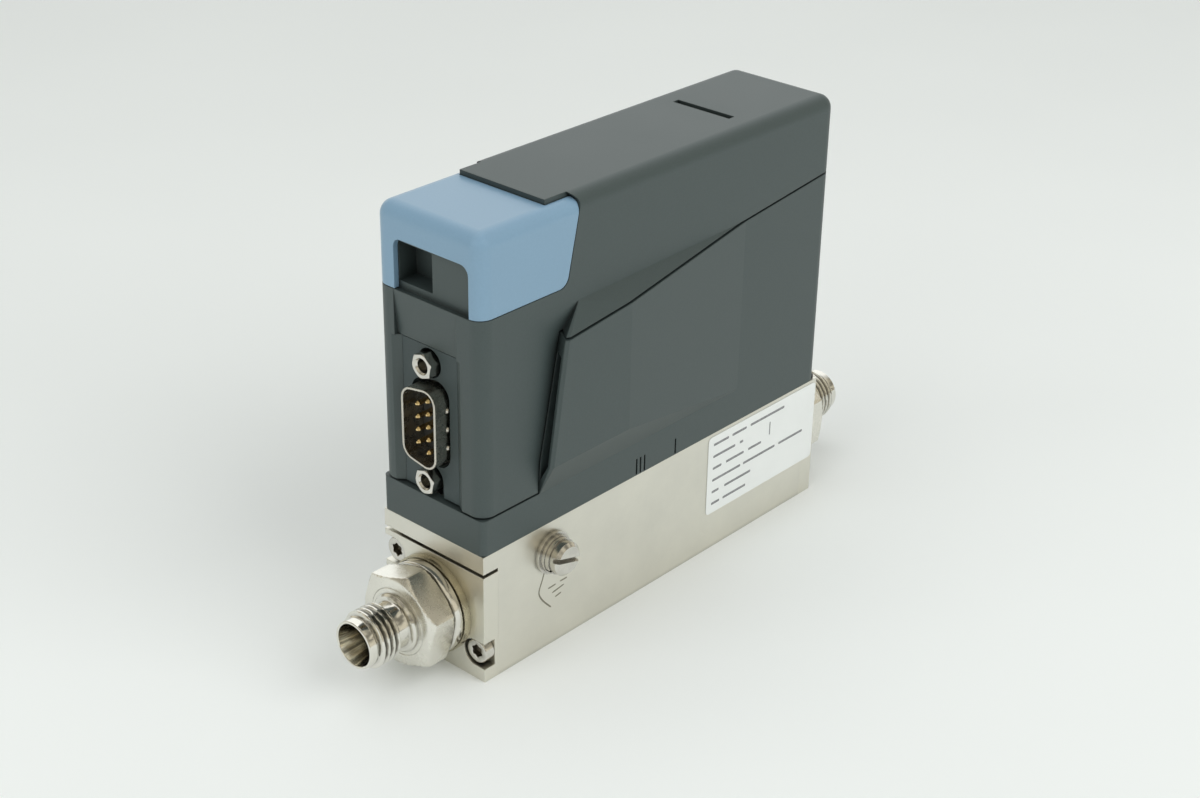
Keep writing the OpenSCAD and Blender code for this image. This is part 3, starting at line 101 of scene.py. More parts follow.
def addNode(tree, kind, inputs=None, **settings):
    node = tree.nodes.new(kind)
    for key, value in settings.items():
        setattr(node, key, value)
    for key, value in (inputs or {}).items():
        if isinstance(value, bpy.types.NodeSocket):
            tree.links.new(value, node.inputs[key])
        else:
            node.inputs[key].default_value = value
    return node


def calc(tree, operation, a, b=0.0, clamp=False):
    node = addNode(tree, "ShaderNodeMath", {0: a, 1: b}, operation=operation, use_clamp=clamp)
    return node.outputs[0]


def spread(tree, value, low, high, toLow=0.0, toHigh=1.0):
    node = addNode(tree, "ShaderNodeMapRange", {"Value": value, "From Min": low, "From Max": high,
                                                "To Min": toLow, "To Max": toHigh})
    return node.outputs["Result"]


def mixColors(tree, factor, a, b):
    node = addNode(tree, "ShaderNodeMix", data_type="RGBA")
    for socket, value in zip([node.inputs[0], node.inputs[6], node.inputs[7]], [factor, a, b]):
        if isinstance(value, bpy.types.NodeSocket):
            tree.links.new(value, socket)
        elif isinstance(value, (int, float)):
            socket.default_value = value
        else:
            socket.default_value = (*value[:3], 1)
    return node.outputs[2]


def noiseAt(tree, where, size, detail=3.0, rough=0.5):
    # size is the width of one grain in millimetres
    node = addNode(tree, "ShaderNodeTexNoise", {"Vector": where, "Scale": 1 / (size * mm), "Detail": detail,
                                                "Roughness": rough}, noise_dimensions="3D")
    return node.outputs["Fac"]


noiseSpan = (0.3, 0.7)  # nearly all of a noise lies between these


def ofNoise(tree, noise, low, high):
    return spread(tree, noise, *noiseSpan, low, high)


def onVectors(tree, operation, a, b):
    return addNode(tree, "ShaderNodeVectorMath", {0: a, 1: b}, operation=operation).outputs


def stretched(tree, where, stretch):
    return addNode(tree, "ShaderNodeMapping", {"Vector": where, "Scale": stretch}, vector_type="POINT").outputs[0]


def aroundAxis(tree, where, axis, center):
    # coordinates that don't change round an axis, so grain lies in turned rings
    parts = addNode(tree, "ShaderNodeSeparateXYZ", {0: where}).outputs
    across = [i for i in range(3) if i != axis]
    squares = []
    for i in across:
        offset = calc(tree, "SUBTRACT", parts[i], center[i] * mm)
        squares.append(calc(tree, "MULTIPLY", offset, offset))
    radius = calc(tree, "SQRT", calc(tree, "ADD", squares[0], squares[1]))
    return addNode(tree, "ShaderNodeCombineXYZ", {0: radius, 1: parts[axis], 2: 0.0}).outputs[0]


def directionRoundAxis(tree, where, axis, center):
    # coordinates that only change round an axis, so the painted reflection streaks run out from it like spokes
    offset = onVectors(tree, "SUBTRACT", where, [c * mm for c in center])[0]
    keep = [0.0 if i == axis else 1.0 for i in range(3)]
    flat = onVectors(tree, "MULTIPLY", offset, keep)[0]
    return addNode(tree, "ShaderNodeVectorMath", {0: flat}, operation="NORMALIZE").outputs[0]


def scaledColor(color, by):
    return tuple(min(1, c * by) for c in color)


# finishes

plainLook = {
    "color": (0.5, 0.5, 0.5),
    "vary": 0.08,           # how far the cloudy patches go from the colour
    "patch": 6.0,           # width of a patch in mm
    "metal": 0.0,
    "rough": 0.5,
    "roughVary": 0.08,
    "grain": 0.3,           # width of a grain in mm
    "grainDepth": 0.01,     # depth of the grain in mm
    "grainStretch": (1, 1, 1),
    "turned": None,         # (axis, centre) where the piece was turned on a lathe
    "edge": 0.0,            # radius of the worn edges in mm
    "edgeTone": 1.15,       # how much lighter a worn edge is
    "specular": 0.5,
    "scratch": 0.0,         # strength of fine scratches
    "coat": 0.0,
    "specks": 0.0,          # strength of fine light and dark specks in the colour
    "paintedReflectionStreaks": 0.0,          # depth of the dark painted reflection streaks that run out from the turned axis
    "spokeScale": 3.4,      # how close together the streaks are
    "paintedShade": 0.0,         # how much painted shade darkens narrow gaps and recesses
    "paintedShadeReach": 1.5,    # width of a gap that gets painted shade, in mm
}

sampling = {"edge": 4, "paintedShade": 8}     # rays for worn edges and for the painted shade in crevices
coatRough = 0.15
wornSpan = (0.01, 0.25)                  # turn of an edge at which it begins to wear, and is fully worn
openSpan = (0.15, 0.85)                  # openness of a crevice where its painted shade is darkest, and where it ends
streakSpan = (0.42, 0.56)                # noise at which a painted reflection streak is darkest, and where it ends
scratchLook = {"stretch": (1, 14, 0.6), "size": 2.4, "span": (0.52, 0.6)}


def makeFinish(name, **changes):
    look = {**plainLook, **changes}
    material = bpy.data.materials.new(name)
    material.use_nodes = True
    tree = material.node_tree
    shader = tree.nodes["Principled BSDF"]
    shader.inputs["Metallic"].default_value = look["metal"]
    shader.inputs["Specular IOR Level"].default_value = look["specular"]
    shader.inputs["Coat Weight"].default_value = look["coat"]
    shader.inputs["Coat Roughness"].default_value = coatRough
    where = addNode(tree, "ShaderNodeTexCoord").outputs["Object"]
    grainWhere = where
    if look["turned"]:
        grainWhere = aroundAxis(tree, where, *look["turned"])
    grainWhere = stretched(tree, grainWhere, look["grainStretch"])

    patches = noiseAt(tree, where, look["patch"], detail=4, rough=0.6)
    fine = noiseAt(tree, grainWhere, look["grain"], detail=3, rough=0.65)
    dark = scaledColor(look["color"], 1 - 2 * look["vary"])
    light = scaledColor(look["color"], 1 + look["vary"])
    color = mixColors(tree, ofNoise(tree, patches, 0.0, 1.0), dark, light)
    if look["specks"]:
        shade = ofNoise(tree, fine, 1 - look["specks"], 1 + look["specks"])
        color = onVectors(tree, "MULTIPLY", color, shade)[0]
    # painted reflection: streaks round the axis stand in for the streaked reflections inside a reamed bore
    if look["paintedReflectionStreaks"]:
        around = directionRoundAxis(tree, where, *look["turned"])
        streak = addNode(tree, "ShaderNodeTexNoise", {"Vector": around, "Scale": look["spokeScale"], "Detail": 2.0})
        shade = spread(tree, streak.outputs["Fac"], *streakSpan, 1 - look["paintedReflectionStreaks"], 1.0)
        color = onVectors(tree, "MULTIPLY", color, shade)[0]

    normal = None
    if look["edge"]:
        normal = addNode(tree, "ShaderNodeBevel", {"Radius": look["edge"] * mm}, samples=sampling["edge"]).outputs[0]
        face = addNode(tree, "ShaderNodeNewGeometry").outputs["Normal"]
        turn = onVectors(tree, "DOT_PRODUCT", normal, face)["Value"]
        worn = spread(tree, calc(tree, "SUBTRACT", 1.0, turn), *wornSpan)
        broken = calc(tree, "MULTIPLY", worn, spread(tree, patches, 0.35, 0.65, 0.4, 1.0))
        color = mixColors(tree, broken, color, scaledColor(look["color"], look["edgeTone"]))
    # painted shade: an ambient occlusion node darkens the colour in gaps and recesses, where shade falls
    if look["paintedShade"]:
        openness = addNode(tree, "ShaderNodeAmbientOcclusion", {"Distance": look["paintedShadeReach"] * mm},
                           samples=sampling["paintedShade"]).outputs["AO"]
        shade = spread(tree, openness, *openSpan, 1 - look["paintedShade"], 1.0)
        color = onVectors(tree, "MULTIPLY", color, shade)[0]
    tree.links.new(color, shader.inputs["Base Color"])

    vary = look["roughVary"]
    rough = ofNoise(tree, patches, look["rough"] - vary, look["rough"] + vary)
    rough = calc(tree, "ADD", rough, ofNoise(tree, fine, -vary / 2, vary / 2), clamp=True)
    tree.links.new(rough, shader.inputs["Roughness"])

    height = fine
    if look["scratch"]:
        across = stretched(tree, where, scratchLook["stretch"])
        lines = noiseAt(tree, across, scratchLook["size"], detail=2, rough=0.4)
        height = calc(tree, "ADD", fine, spread(tree, lines, *scratchLook["span"], 0.0, look["scratch"]))
    bump = addNode(tree, "ShaderNodeBump", {"Height": height, "Strength": 1.0, "Distance": look["grainDepth"] * mm})
    if normal:
        tree.links.new(normal, bump.inputs["Normal"])
    tree.links.new(bump.outputs[0], shader.inputs["Normal"])
    return material


gasLine = (0, (0, 0, 13))        # the fittings are turned round X, at this height in mm
housingPlastic = dict(color=(0.054, 0.073, 0.072), vary=0.01, patch=22, rough=0.45, roughVary=0.015,
                      grain=0.3, grainDepth=0.012, edge=0.3, edgeTone=1.1, specks=0.07)

# painted shade: a finish's value for crevices darkens its colour in gaps, recesses and thread valleys
finishes = {
    "blockSteel": dict(color=(0.765, 0.745, 0.67), vary=0.03, patch=14, metal=1, rough=0.34, roughVary=0.05,
                       grain=0.22, grainDepth=0.004, grainStretch=(1, 1, 0.35), edge=0.15, edgeTone=1.05,
                       scratch=0.3, paintedShade=0.4),
    "flangeSteel": dict(color=(0.77, 0.75, 0.67), vary=0.02, patch=16, metal=1, rough=0.36, roughVary=0.025,
                        grain=0.2, grainDepth=0.003, grainStretch=(1, 1, 0.35), edge=0.2, edgeTone=1.05, paintedShade=0.1),
    "turnedSteel": dict(color=(0.78, 0.76, 0.70), vary=0.03, patch=7, metal=1, rough=0.13, roughVary=0.04,
                        grain=0.16, grainDepth=0.0025, turned=gasLine, edge=0.08, paintedShade=0.85, paintedShadeReach=1.3),
    # the mouth's streaks are painted reflection
    "mouthSteel": dict(color=(0.92, 0.885, 0.79), vary=0.03, patch=4, metal=1, rough=0.15, roughVary=0.03,
                       grain=0.16, grainDepth=0.002, turned=gasLine, paintedReflectionStreaks=0.6,
                       paintedShade=0.2, paintedShadeReach=6),
    "satinSteel": dict(color=(0.82, 0.80, 0.73), vary=0.03, patch=5, metal=1, rough=0.27, roughVary=0.05,
                       grain=0.18, grainDepth=0.005, edge=0.12, edgeTone=1.1, paintedShade=0.5),
    "ringBrass": dict(color=(0.62, 0.57, 0.43), vary=0.05, patch=3, metal=1, rough=0.27, roughVary=0.06,
                      grain=0.14, grainDepth=0.003, turned=gasLine, edge=0.1, paintedShade=0.6),
    "screwSteel": dict(color=(0.68, 0.66, 0.61), vary=0.05, patch=2, metal=1, rough=0.19, roughVary=0.05,
                       grain=0.15, grainDepth=0.003, edge=0.1, edgeTone=1.2, paintedShade=0.8, paintedShadeReach=1.3),
    "shellSteel": dict(color=(0.62, 0.59, 0.52), vary=0.05, patch=3, metal=1, rough=0.27, roughVary=0.07,
                       grain=0.2, grainDepth=0.003, edge=0.12, paintedShade=0.5),
    # painted shade in the housing's seams, and with a wide reach in the cover's pocket
    "darkPlastic": dict(housingPlastic, paintedShade=0.7, paintedShadeReach=1.6),
    "coverPlastic": dict(housingPlastic, paintedShade=0.8, paintedShadeReach=6),
    "platePlastic": dict(color=(0.051, 0.069, 0.070), vary=0.01, patch=8, rough=0.5, roughVary=0.04,
                         grain=0.3, grainDepth=0.008, edge=0.15, specular=0.35, specks=0.05),
    "bluePlastic": dict(color=(0.215, 0.35, 0.475), vary=0.004, patch=18, rough=0.30, roughVary=0.01,
                        grain=0.5, grainDepth=0.002, edge=0.25, edgeTone=1.08, specular=0.55, specks=0.02),
    "blackPlastic": dict(color=(0.03, 0.032, 0.033), vary=0.1, patch=4, rough=0.45, grain=0.25, grainDepth=0.005,
                         edge=0.1, specular=0.4),
    "sealRubber": dict(color=(0.03, 0.03, 0.03), vary=0.1, patch=3, rough=0.6, grain=0.2, grainDepth=0.01),
    "sensorMetal": dict(color=(0.72, 0.71, 0.69), vary=0.04, patch=3, metal=1, rough=0.22,
                        grain=0.1, grainDepth=0.002),
    "aluminium": dict(color=(0.76, 0.77, 0.78), vary=0.04, patch=6, metal=1, rough=0.34, grain=0.3,
                      grainDepth=0.004, grainStretch=(1, 1, 0.2), edge=0.15),
    "yokeIron": dict(color=(0.42, 0.41, 0.39), patch=5, metal=1, rough=0.42, grainDepth=0.006, edge=0.15),
    "copperWire": dict(color=(0.72, 0.36, 0.20), patch=2, metal=1, rough=0.3,
                       grainDepth=0.03, grainStretch=(0.1, 0.1, 1)),
    "goldContact": dict(color=(0.83, 0.62, 0.30), vary=0.04, patch=1, metal=1, rough=0.2,
                        grain=0.1, grainDepth=0.002),
    "boardGreen": dict(color=(0.02, 0.16, 0.07), vary=0.12, patch=3, rough=0.33,
                       grain=0.4, grainDepth=0.008, coat=0.3),
    "capacitorSleeve": dict(color=(0.05, 0.10, 0.22), vary=0.06, patch=2, rough=0.35,
                            grain=0.4, grainDepth=0.004, edge=0.2),
    "headerPlastic": dict(color=(0.78, 0.75, 0.64), vary=0.04, patch=3, rough=0.45, grainDepth=0.005, edge=0.12),
    "cablePlastic": dict(color=(0.45, 0.46, 0.47), vary=0.05, patch=3, rough=0.5, grain=0.5,
                         grainDepth=0.02, grainStretch=(0.05, 1, 1)),
    "labelPaper": dict(color=(0.84, 0.86, 0.84), vary=0.01, patch=9, rough=0.42, roughVary=0.05, grain=0.25,
                       grainDepth=0.002, specular=0.35),
    "labelInk": dict(color=(0.27, 0.275, 0.28), vary=0.15, patch=0.8, rough=0.6, grain=0.2, grainDepth=0.001),
    # painted shade: a dark steel for the inside of the screw drives, where shade falls
    "recessShadeSteel": dict(color=(0.22, 0.20, 0.16), vary=0.2, patch=1, metal=1, rough=0.5,
                        grain=0.15, grainDepth=0.004),
    # the earth mark's dark tone: engraved symbol, and painted shade in its tail
    "markAndShadeSteel": dict(color=(0.30, 0.28, 0.22), vary=0.15, patch=1, metal=1, rough=0.45,
                          grain=0.15, grainDepth=0.004),
}
made = {name: makeFinish(name, **look) for name, look in finishes.items()}
print("finishes made:", len(made))


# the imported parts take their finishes

partFinishes = {
    "blockSteel": ["base_block"],
    "flangeSteel": ["inlet_flange", "outlet_flange"],
    "turnedSteel": ["inlet_fitting", "outlet_fitting", "filter_retainer", "valve_plunger", "guide_tube"],
    "ringBrass": ["fitting_rings", "valve_seat", "board_spacers"],
    "screwSteel": ["flange_screws", "sensor_screws", "housing_screws", "cover_screws", "bracket_screws",
                   "board_screws", "jackscrews", "jack_nuts", "coil_nut", "earth_screw", "earth_lock_washer",
                   "earth_washer", "guide_retainer", "valve_spring"],
    "shellSteel": ["connector_shell"],
    "coverPlastic": ["housing_cover"],
    "darkPlastic": ["housing_base"],
    "platePlastic": ["connector_plate"],
    "bluePlastic": ["front_cap"],
    "blackPlastic": ["connector_insulator", "coil_bobbin", "circuit_packages"],
    "sealRubber": ["flange_seals", "sensor_seals", "guide_seal", "housing_gasket", "valve_pad"],
    "sensorMetal": ["sensor_base", "sensor_tube", "flow_element", "inlet_filter"],
    "aluminium": ["sensor_cover", "connector_bracket"],
    "yokeIron": ["coil_yoke"],
    "copperWire": ["coil_winding", "sensor_windings"],
    "goldContact": ["connector_pins"],
    "boardGreen": ["main_board", "connector_board"],
    "capacitorSleeve": ["capacitors"],
    "headerPlastic": ["plug_headers"],
    "cablePlastic": ["flat_cable"],
    "labelPaper": ["side_label"],
}


def dressPart(part, material):
    slots = part.data.materials
    if not slots:
        slots.append(material)
    for i in range(len(slots)):
        slots[i] = material


for finish, names in partFinishes.items():
    for name in names:
        dressPart(nodes[name], made[finish])
dressed = {name for names in partFinishes.values() for name in names}
print("parts dressed:", len(dressed), "left:", sorted(set(nodes) - dressed))


# mesh helpers

def meshFrom(build, name):
    bmesh.ops.recalc_face_normals(build, faces=build.faces)
    mesh = bpy.data.meshes.new(name)
    build.to_mesh(mesh)
    build.free()
    return mesh


def addPiece(name, build, finish, smooth=30):
    mesh = meshFrom(build, name)
    piece = bpy.data.objects.new(name, mesh)
    bpy.context.scene.collection.objects.link(piece)
    mesh.materials.append(made[finish])
    for face in mesh.polygons:
        face.use_smooth = True
    mesh.set_sharp_from_angle(angle=math.radians(smooth))
    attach(piece, "controller")
    return piece


def skinRings(build, rings, closed=False):
    # joins rings of the same number of points with quads
    skinned = [[build.verts.new(point) for point in ring] for ring in rings]
    count = len(skinned[0])
    following = skinned[1:] + (skinned[:1] if closed else [])
    for low, high in zip(skinned, following):
        for i in range(count):
            j = (i + 1) % count
            build.faces.new((low[i], low[j], high[j], high[i]))
    return skinned


def roundAngles(count):
    return [2 * math.pi * i / count for i in range(count)]


def thicken(build, depth):
    # pushes a copy of the faces back from the -Y side and closes the edges
    extruded = bmesh.ops.extrude_face_region(build, geom=build.faces[:])
    moved = [v for v in extruded["geom"] if isinstance(v, bmesh.types.BMVert)]
    bmesh.ops.translate(build, verts=moved, vec=(0, depth * mm, 0))


# tube fittings with a real helical thread

fittingSizes = {
    "axisHeight": 13.0,
    "faceX": 53.5,           # flange face that the fitting seats on, and the zero of the lengths below
    "shankRadius": 6.0, "shankEnd": -5.5, "shankChamfer": 0.5,
    "ringEnd": 1.6, "collarEnd": 3.8, "collarRadius": 10.0, "collarBreak": 0.25,
    "collarLip": [(0.5, 0), (0.3, 0.08), (0.12, 0.35), (0, 0.8)],    # (back from its end, in from its radius)
    "hexEnd": 10.2, "hexWidth": 19.0, "inletHexTurn": 42.6, "outletHexTurn": 28.4,
    "hexChamferRadius": 9.15, "hexChamfer": 1.1, "hexChamferSlope": 1.9,
    "lineRadius": 7.2, "lineWidth": 0.12,                            # the fine line turned in the hexagon's face
    "bossRadius": 6.2, "bossEnd": 11.2, "bossChamfer": 0.4,
    "neckRadius": 4.9, "neckEnd": 13.8, "neckFillet": [(0, 0.35), (0.1, 0.1), (0.35, 0)],
    "threadRadius": 6.0, "threadDepth": 0.85, "threadPitch": 1.3, "threadEnd": 19.8,
    "threadFades": (0.7, 0.8), "threadSteps": 72,
    "noseRadius": 5.1, "noseRound": 0.22, "end": 21.6,
    "mouthRadius": 4.5, "mouthBreak": 0.12, "mouthBottom": 14.6,
    "tubeRadius": 3.0, "tubeEnd": 12.1, "tubeChamfer": 0.3, "boreRadius": 2.2,
    "hexBands": (9, 25),     # rings between which the hexagon lies
    "mouthBand": 115,        # ring where the mouth begins
    "around": 168,
}


def hexagonRadius(angle, width, turn):
    part = (angle - turn) % (math.pi / 3) - math.pi / 6
    return width / 2 / math.cos(part)


def threadShape(phase):
    # one turn of the thread: flat crest, steep flanks, flat root
    wave = abs((phase % 1) - 0.5) * 2
    return min(1, max(0, (wave - 0.30) / 0.56))


def quarterRound(steps):
    return [i / (steps - 1) * math.pi / 2 for i in range(steps)]


def fittingRings(size, hexTurn):
    angles = roundAngles(size["around"])
    turn = math.radians(-hexTurn)
    rings = []

    def ring(reach, radius):
        rings.append([(reach, radius(a) if callable(radius) else radius, a) for a in angles])

    shank, cut = size["shankRadius"], size["shankChamfer"]
    ring(size["shankEnd"], size["boreRadius"])
    ring(size["shankEnd"], shank - cut)
    ring(size["shankEnd"] + cut, shank)
    ring(size["ringEnd"], shank)
    ring(size["ringEnd"], size["collarRadius"] - size["collarBreak"])
    ring(size["ringEnd"] + size["collarBreak"], size["collarRadius"])
    for drop, inset in size["collarLip"]:
        ring(size["collarEnd"] - drop, size["collarRadius"] - inset)

    # hexagon with its corners turned down at both ends
    back, front, chamfer = size["collarEnd"], size["hexEnd"], size["hexChamfer"]

    def hexRing(reach, fromEnd, least):
        limit = least + fromEnd * size["hexChamferSlope"]
        ring(reach, lambda a: min(hexagonRadius(a, size["hexWidth"], turn), limit))

    for step in range(5):
        fromEnd = step / 4 * chamfer
        hexRing(back + fromEnd, fromEnd, size["hexChamferRadius"] + 0.1)
    ring(front - chamfer - 0.2, lambda a: hexagonRadius(a, size["hexWidth"], turn))
    for step in range(7):
        fromEnd = chamfer * (1 - step / 6)
        hexRing(front - fromEnd, fromEnd, size["hexChamferRadius"])
    line, wide = size["lineRadius"], size["lineWidth"]
    ring(front, line + wide)
    ring(front - wide, line)
    ring(front, line - wide)
    ring(front, size["bossRadius"] + 0.15)
    ring(front + 0.05, size["bossRadius"])
    ring(size["bossEnd"] - size["bossChamfer"], size["bossRadius"])
    ring(size["bossEnd"], size["bossRadius"] - size["bossChamfer"])
    for lift, outset in size["neckFillet"]:
        ring(size["bossEnd"] + lift, size["neckRadius"] + outset)
    ring(size["neckEnd"] - 0.1, size["neckRadius"])

    # helical thread that fades out at both ends
    low, high = size["neckEnd"], size["threadEnd"]
    neck, thread, nose = size["neckRadius"], size["threadRadius"], size["noseRadius"]
    for step in range(size["threadSteps"] + 1):
        reach = low + (high - low) * step / size["threadSteps"]
        fadeLow = min(1, (reach - low) / size["threadFades"][0])
        fadeHigh = min(1, (high - reach) / size["threadFades"][1])
        top = min(neck + (thread - neck) * fadeLow, nose + (thread - nose) * fadeHigh)

        def crest(a, reach=reach, top=top):
            cut = size["threadDepth"] * threadShape((reach / size["threadPitch"]) + a / (2 * math.pi))
            return max(top - cut, neck * 0.985)

        ring(reach, crest)
    end, bend = size["end"], size["noseRound"]
    ring(high + 0.1, nose)
    for lift in quarterRound(6):
        ring(end - bend + bend * math.sin(lift), nose - bend + bend * math.cos(lift))
    ring(end, size["mouthRadius"] + size["mouthBreak"])
    ring(end - size["mouthBreak"], size["mouthRadius"])
    ring(size["mouthBottom"], size["tubeRadius"])
    ring(size["tubeEnd"], size["tubeRadius"])
    ring(size["tubeEnd"] - size["tubeChamfer"], size["boreRadius"])
    return rings


def addFitting(name, size, side, hexTurn, replaced):
    build = bmesh.new()
    rings = []
    for ring in fittingRings(size, hexTurn):
        rings.append([Vector((side * (size["faceX"] + reach), side * radius * math.cos(a),
                              size["axisHeight"] + radius * math.sin(a))) * mm for reach, radius, a in ring])
    skinRings(build, rings, closed=True)
    piece = addPiece(name, build, "turnedSteel", smooth=32)
    # the hexagon is satin, the mouth is reamed with painted reflection streaks and the rest is turned bright
    piece.data.materials.append(made["satinSteel"])
    piece.data.materials.append(made["mouthSteel"])
    low, high = size["hexBands"]
    for face in piece.data.polygons:
        band = face.index // size["around"]
        if low <= band <= high:
            face.material_index = 1
        elif band >= size["mouthBand"]:
            face.material_index = 2
    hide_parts(replaced)


addFitting("inletTubeFitting", fittingSizes, -1, fittingSizes["inletHexTurn"], "inlet_fitting")
addFitting("outletTubeFitting", fittingSizes, 1, fittingSizes["outletHexTurn"], "outlet_fitting")
print("fittings threaded")


# flange screws with a six-lobed drive

flangeScrewSizes = {
    "seatX": 50.6,           # bottom of the counterbore
    "headRadius": 2.65, "headHeight": 2.4, "headRound": 0.3, "headBreak": 0.1,
    "shankRadius": 1.5, "shankLength": 9.0, "shankChamfer": 0.3,
    "lobeRadius": 1.45, "lobeDepth": 0.28, "lobeFlare": 0.22, "flareDepth": 0.16,
    "driveDepth": 1.3, "driveTaper": 0.05, "driveTip": 0.35, "driveTurn": 0.4,
    "side": 11.3, "rise": 7.0, "axisHeight": 13.0,
    "tipRadius": 0.05,       # the shank's end and the drive's bottom close to this
    "recessBands": 2,        # the last rings, inside the drive, which take the painted shade
    "around": 72,
}


def lobeRadius(angle, radius, depth):
    return radius - depth * (1 - math.cos(6 * angle)) / 2


def screwRings(size):
    angles = roundAngles(size["around"])
    radius, height, bend = size["headRadius"], size["headHeight"], size["headRound"]
    floor = height - size["driveDepth"]
    profile = [
        (-size["shankLength"], size["tipRadius"]),
        (-size["shankLength"], size["shankRadius"] - size["shankChamfer"]),
        (-size["shankLength"] + size["shankChamfer"], size["shankRadius"]),
        (0, size["shankRadius"]),
        (0, radius - size["headBreak"]),
        (size["headBreak"], radius),
    ]
    profile += [(height - bend + bend * math.sin(lift), radius - bend + bend * math.cos(lift))
                for lift in quarterRound(5)]
    profile.append((height, size["lobeRadius"] + size["lobeFlare"]))
    rings = [[(reach, wide, a) for a in angles] for reach, wide in profile]
    drive = [(height - size["flareDepth"], size["lobeRadius"]), (floor, size["lobeRadius"] - size["driveTaper"])]
    for reach, wide in drive:
        rings.append([(reach, lobeRadius(a, wide, size["lobeDepth"]), a) for a in angles])
    rings.append([(floor - size["driveTip"], size["tipRadius"], a) for a in angles])
    return rings


def addFlangeScrews(size):
    build = bmesh.new()
    screw = screwRings(size)
    turn = size["driveTurn"]
    for end in (-1, 1):
        for side in (-1, 1):
            y, z = -end * side * size["side"], size["axisHeight"] + side * size["rise"]
            skinRings(build, [[Vector((end * (size["seatX"] + reach), y + radius * math.cos(a + turn),
                                       z + radius * math.sin(a + turn))) * mm for reach, radius, a in ring]
                              for ring in screw])
    piece = addPiece("lobedFlangeScrews", build, "screwSteel", smooth=35)
    # the drive's inside is painted shade
    piece.data.materials.append(made["recessShadeSteel"])
    bands = len(screw) - 1
    for face in piece.data.polygons:
        if face.index // size["around"] % bands >= bands - size["recessBands"]:
            face.material_index = 1
    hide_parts("flange_screws")


addFlangeScrews(flangeScrewSizes)
print("flange screws set")


# plunger spring, wound at one fixed length, though the real one shortens as the plunger lifts

springSizes = {
    "x": 22.0, "low": 33.64, "high": 41.95,
    "turns": 6, "radius": 2.0, "wire": 0.3,
    "coreZ": 41.97,          # face of the fixed core that its upper end rests on
    "lift": 0.3,             # what the joint takes from its length
    "stepsPerTurn": 24, "sides": 10,
}


def addSpring(size):
    build = bmesh.new()
    count = size["turns"] * size["stepsPerTurn"]
    climb = size["high"] - size["low"] - 2 * size["wire"]
    rings = []
    for i in range(count + 1):
        turn = 2 * math.pi * i / size["stepsPerTurn"]
        z = size["low"] + size["wire"] + climb * i / count
        ring = []
        for at in roundAngles(size["sides"]):
            reach = size["radius"] + size["wire"] * math.cos(at)
            ring.append(Vector((size["x"] + reach * math.cos(turn), reach * math.sin(turn),
                                z + size["wire"] * math.sin(at))) * mm)
        rings.append(ring)
    skinned = skinRings(build, rings)
    build.faces.new(skinned[0])
    build.faces.new(skinned[-1])
    piece = addPiece("plungerSpring", build, "screwSteel")
    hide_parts("valve_spring")
    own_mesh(piece)


addSpring(springSizes)
print("plunger spring wound")


# printed marks on the label, as plain bars

labelMarks = {
    "faceY": -14.15, "proud": 0.012,
    "left": 16.6, "top": 26.4, "lineGap": 2.95, "barHeight": 0.6,
    # each line lists its bars: where a bar begins, and how long it is
    "lines": [
        [(0, 5.2), (6.4, 5.0), (12.8, 12.2)],
        [(0, 7.6), (9.2, 1.2)],
        [(0, 3.0), (4.6, 6.2), (12.4, 4.6)],
        [(0, 9.8), (10.8, 11.4), (23.6, 8.8)],
        [(0, 2.4), (4.4, 9.2)],
        [(0, 2.8), (4.0, 8.0)],
    ],
    "upright": (19.8, 20.9, 0.35, 3.3),      # one upright bar: from the left end, above the floor, width, height
    "corner": 0.15,
}
markDepth = 0.02    # how far marks reach into their face


def addBars(name, faceY, bars, corner, finish):
    # flat bars on a face that looks towards -Y: (x, z, length, height)
    build = bmesh.new()
    for x, z, length, height in bars:
        cut = min(corner, height / 2.2)
        outline = [(x + cut, z), (x + length - cut, z), (x + length, z + cut), (x + length, z + height - cut),
                   (x + length - cut, z + height), (x + cut, z + height), (x, z + height - cut), (x, z + cut)]
        build.faces.new([build.verts.new(Vector((px, faceY, pz)) * mm) for px, pz in outline])
    thicken(build, markDepth)
    addPiece(name, build, finish)


def labelBars(marks):
    left, height = marks["left"], marks["barHeight"]
    bars = [(left + start, marks["top"] - row * marks["lineGap"] - height, length, height)
            for row, line in enumerate(marks["lines"]) for start, length in line]
    x, *rest = marks["upright"]
    return bars + [(left + x, *rest)]


addBars("labelBars", labelMarks["faceY"] - labelMarks["proud"], labelBars(labelMarks), labelMarks["corner"],
        "labelInk")
print("label marked")


# earth mark beside its screw: engraved strokes of the symbol, and a dark curved tail that is painted shade along an
# edge

earthMark = {
    "faceY": -14.0, "proud": 0.006, "width": 0.36, "endWidth": 0.45,    # the ends narrow to this share
    # the tail is a painted shade line; the strokes are the engraved symbol
    "tail": [(-36.3, 18.3), (-37.0, 16.4), (-37.8, 14.6), (-37.9, 13.4), (-37.2, 12.0), (-36.1, 10.6), (-34.4, 8.8)],
    "strokes": [[(-35.3, 13.6), (-33.0, 13.7)], [(-34.1, 12.05), (-30.6, 12.55)],
                [(-33.2, 10.7), (-31.4, 11.0)], [(-31.8, 13.8), (-29.7, 13.8)]],
}


def smoothLine(points, steps=6):
    # Catmull-Rom curve through the points
    padded = [points[0], *points, points[-1]]
    line = []
    for a, b, c, d in zip(padded, padded[1:], padded[2:], padded[3:]):
        for step in range(steps):
            t = step / steps
            line.append(tuple(0.5 * (2 * q + (r - p) * t + (2 * p - 5 * q + 4 * r - s) * t * t
                                     + (3 * q - p - 3 * r + s) * t ** 3) for p, q, r, s in zip(a, b, c, d)))
    line.append(points[-1])
    return line


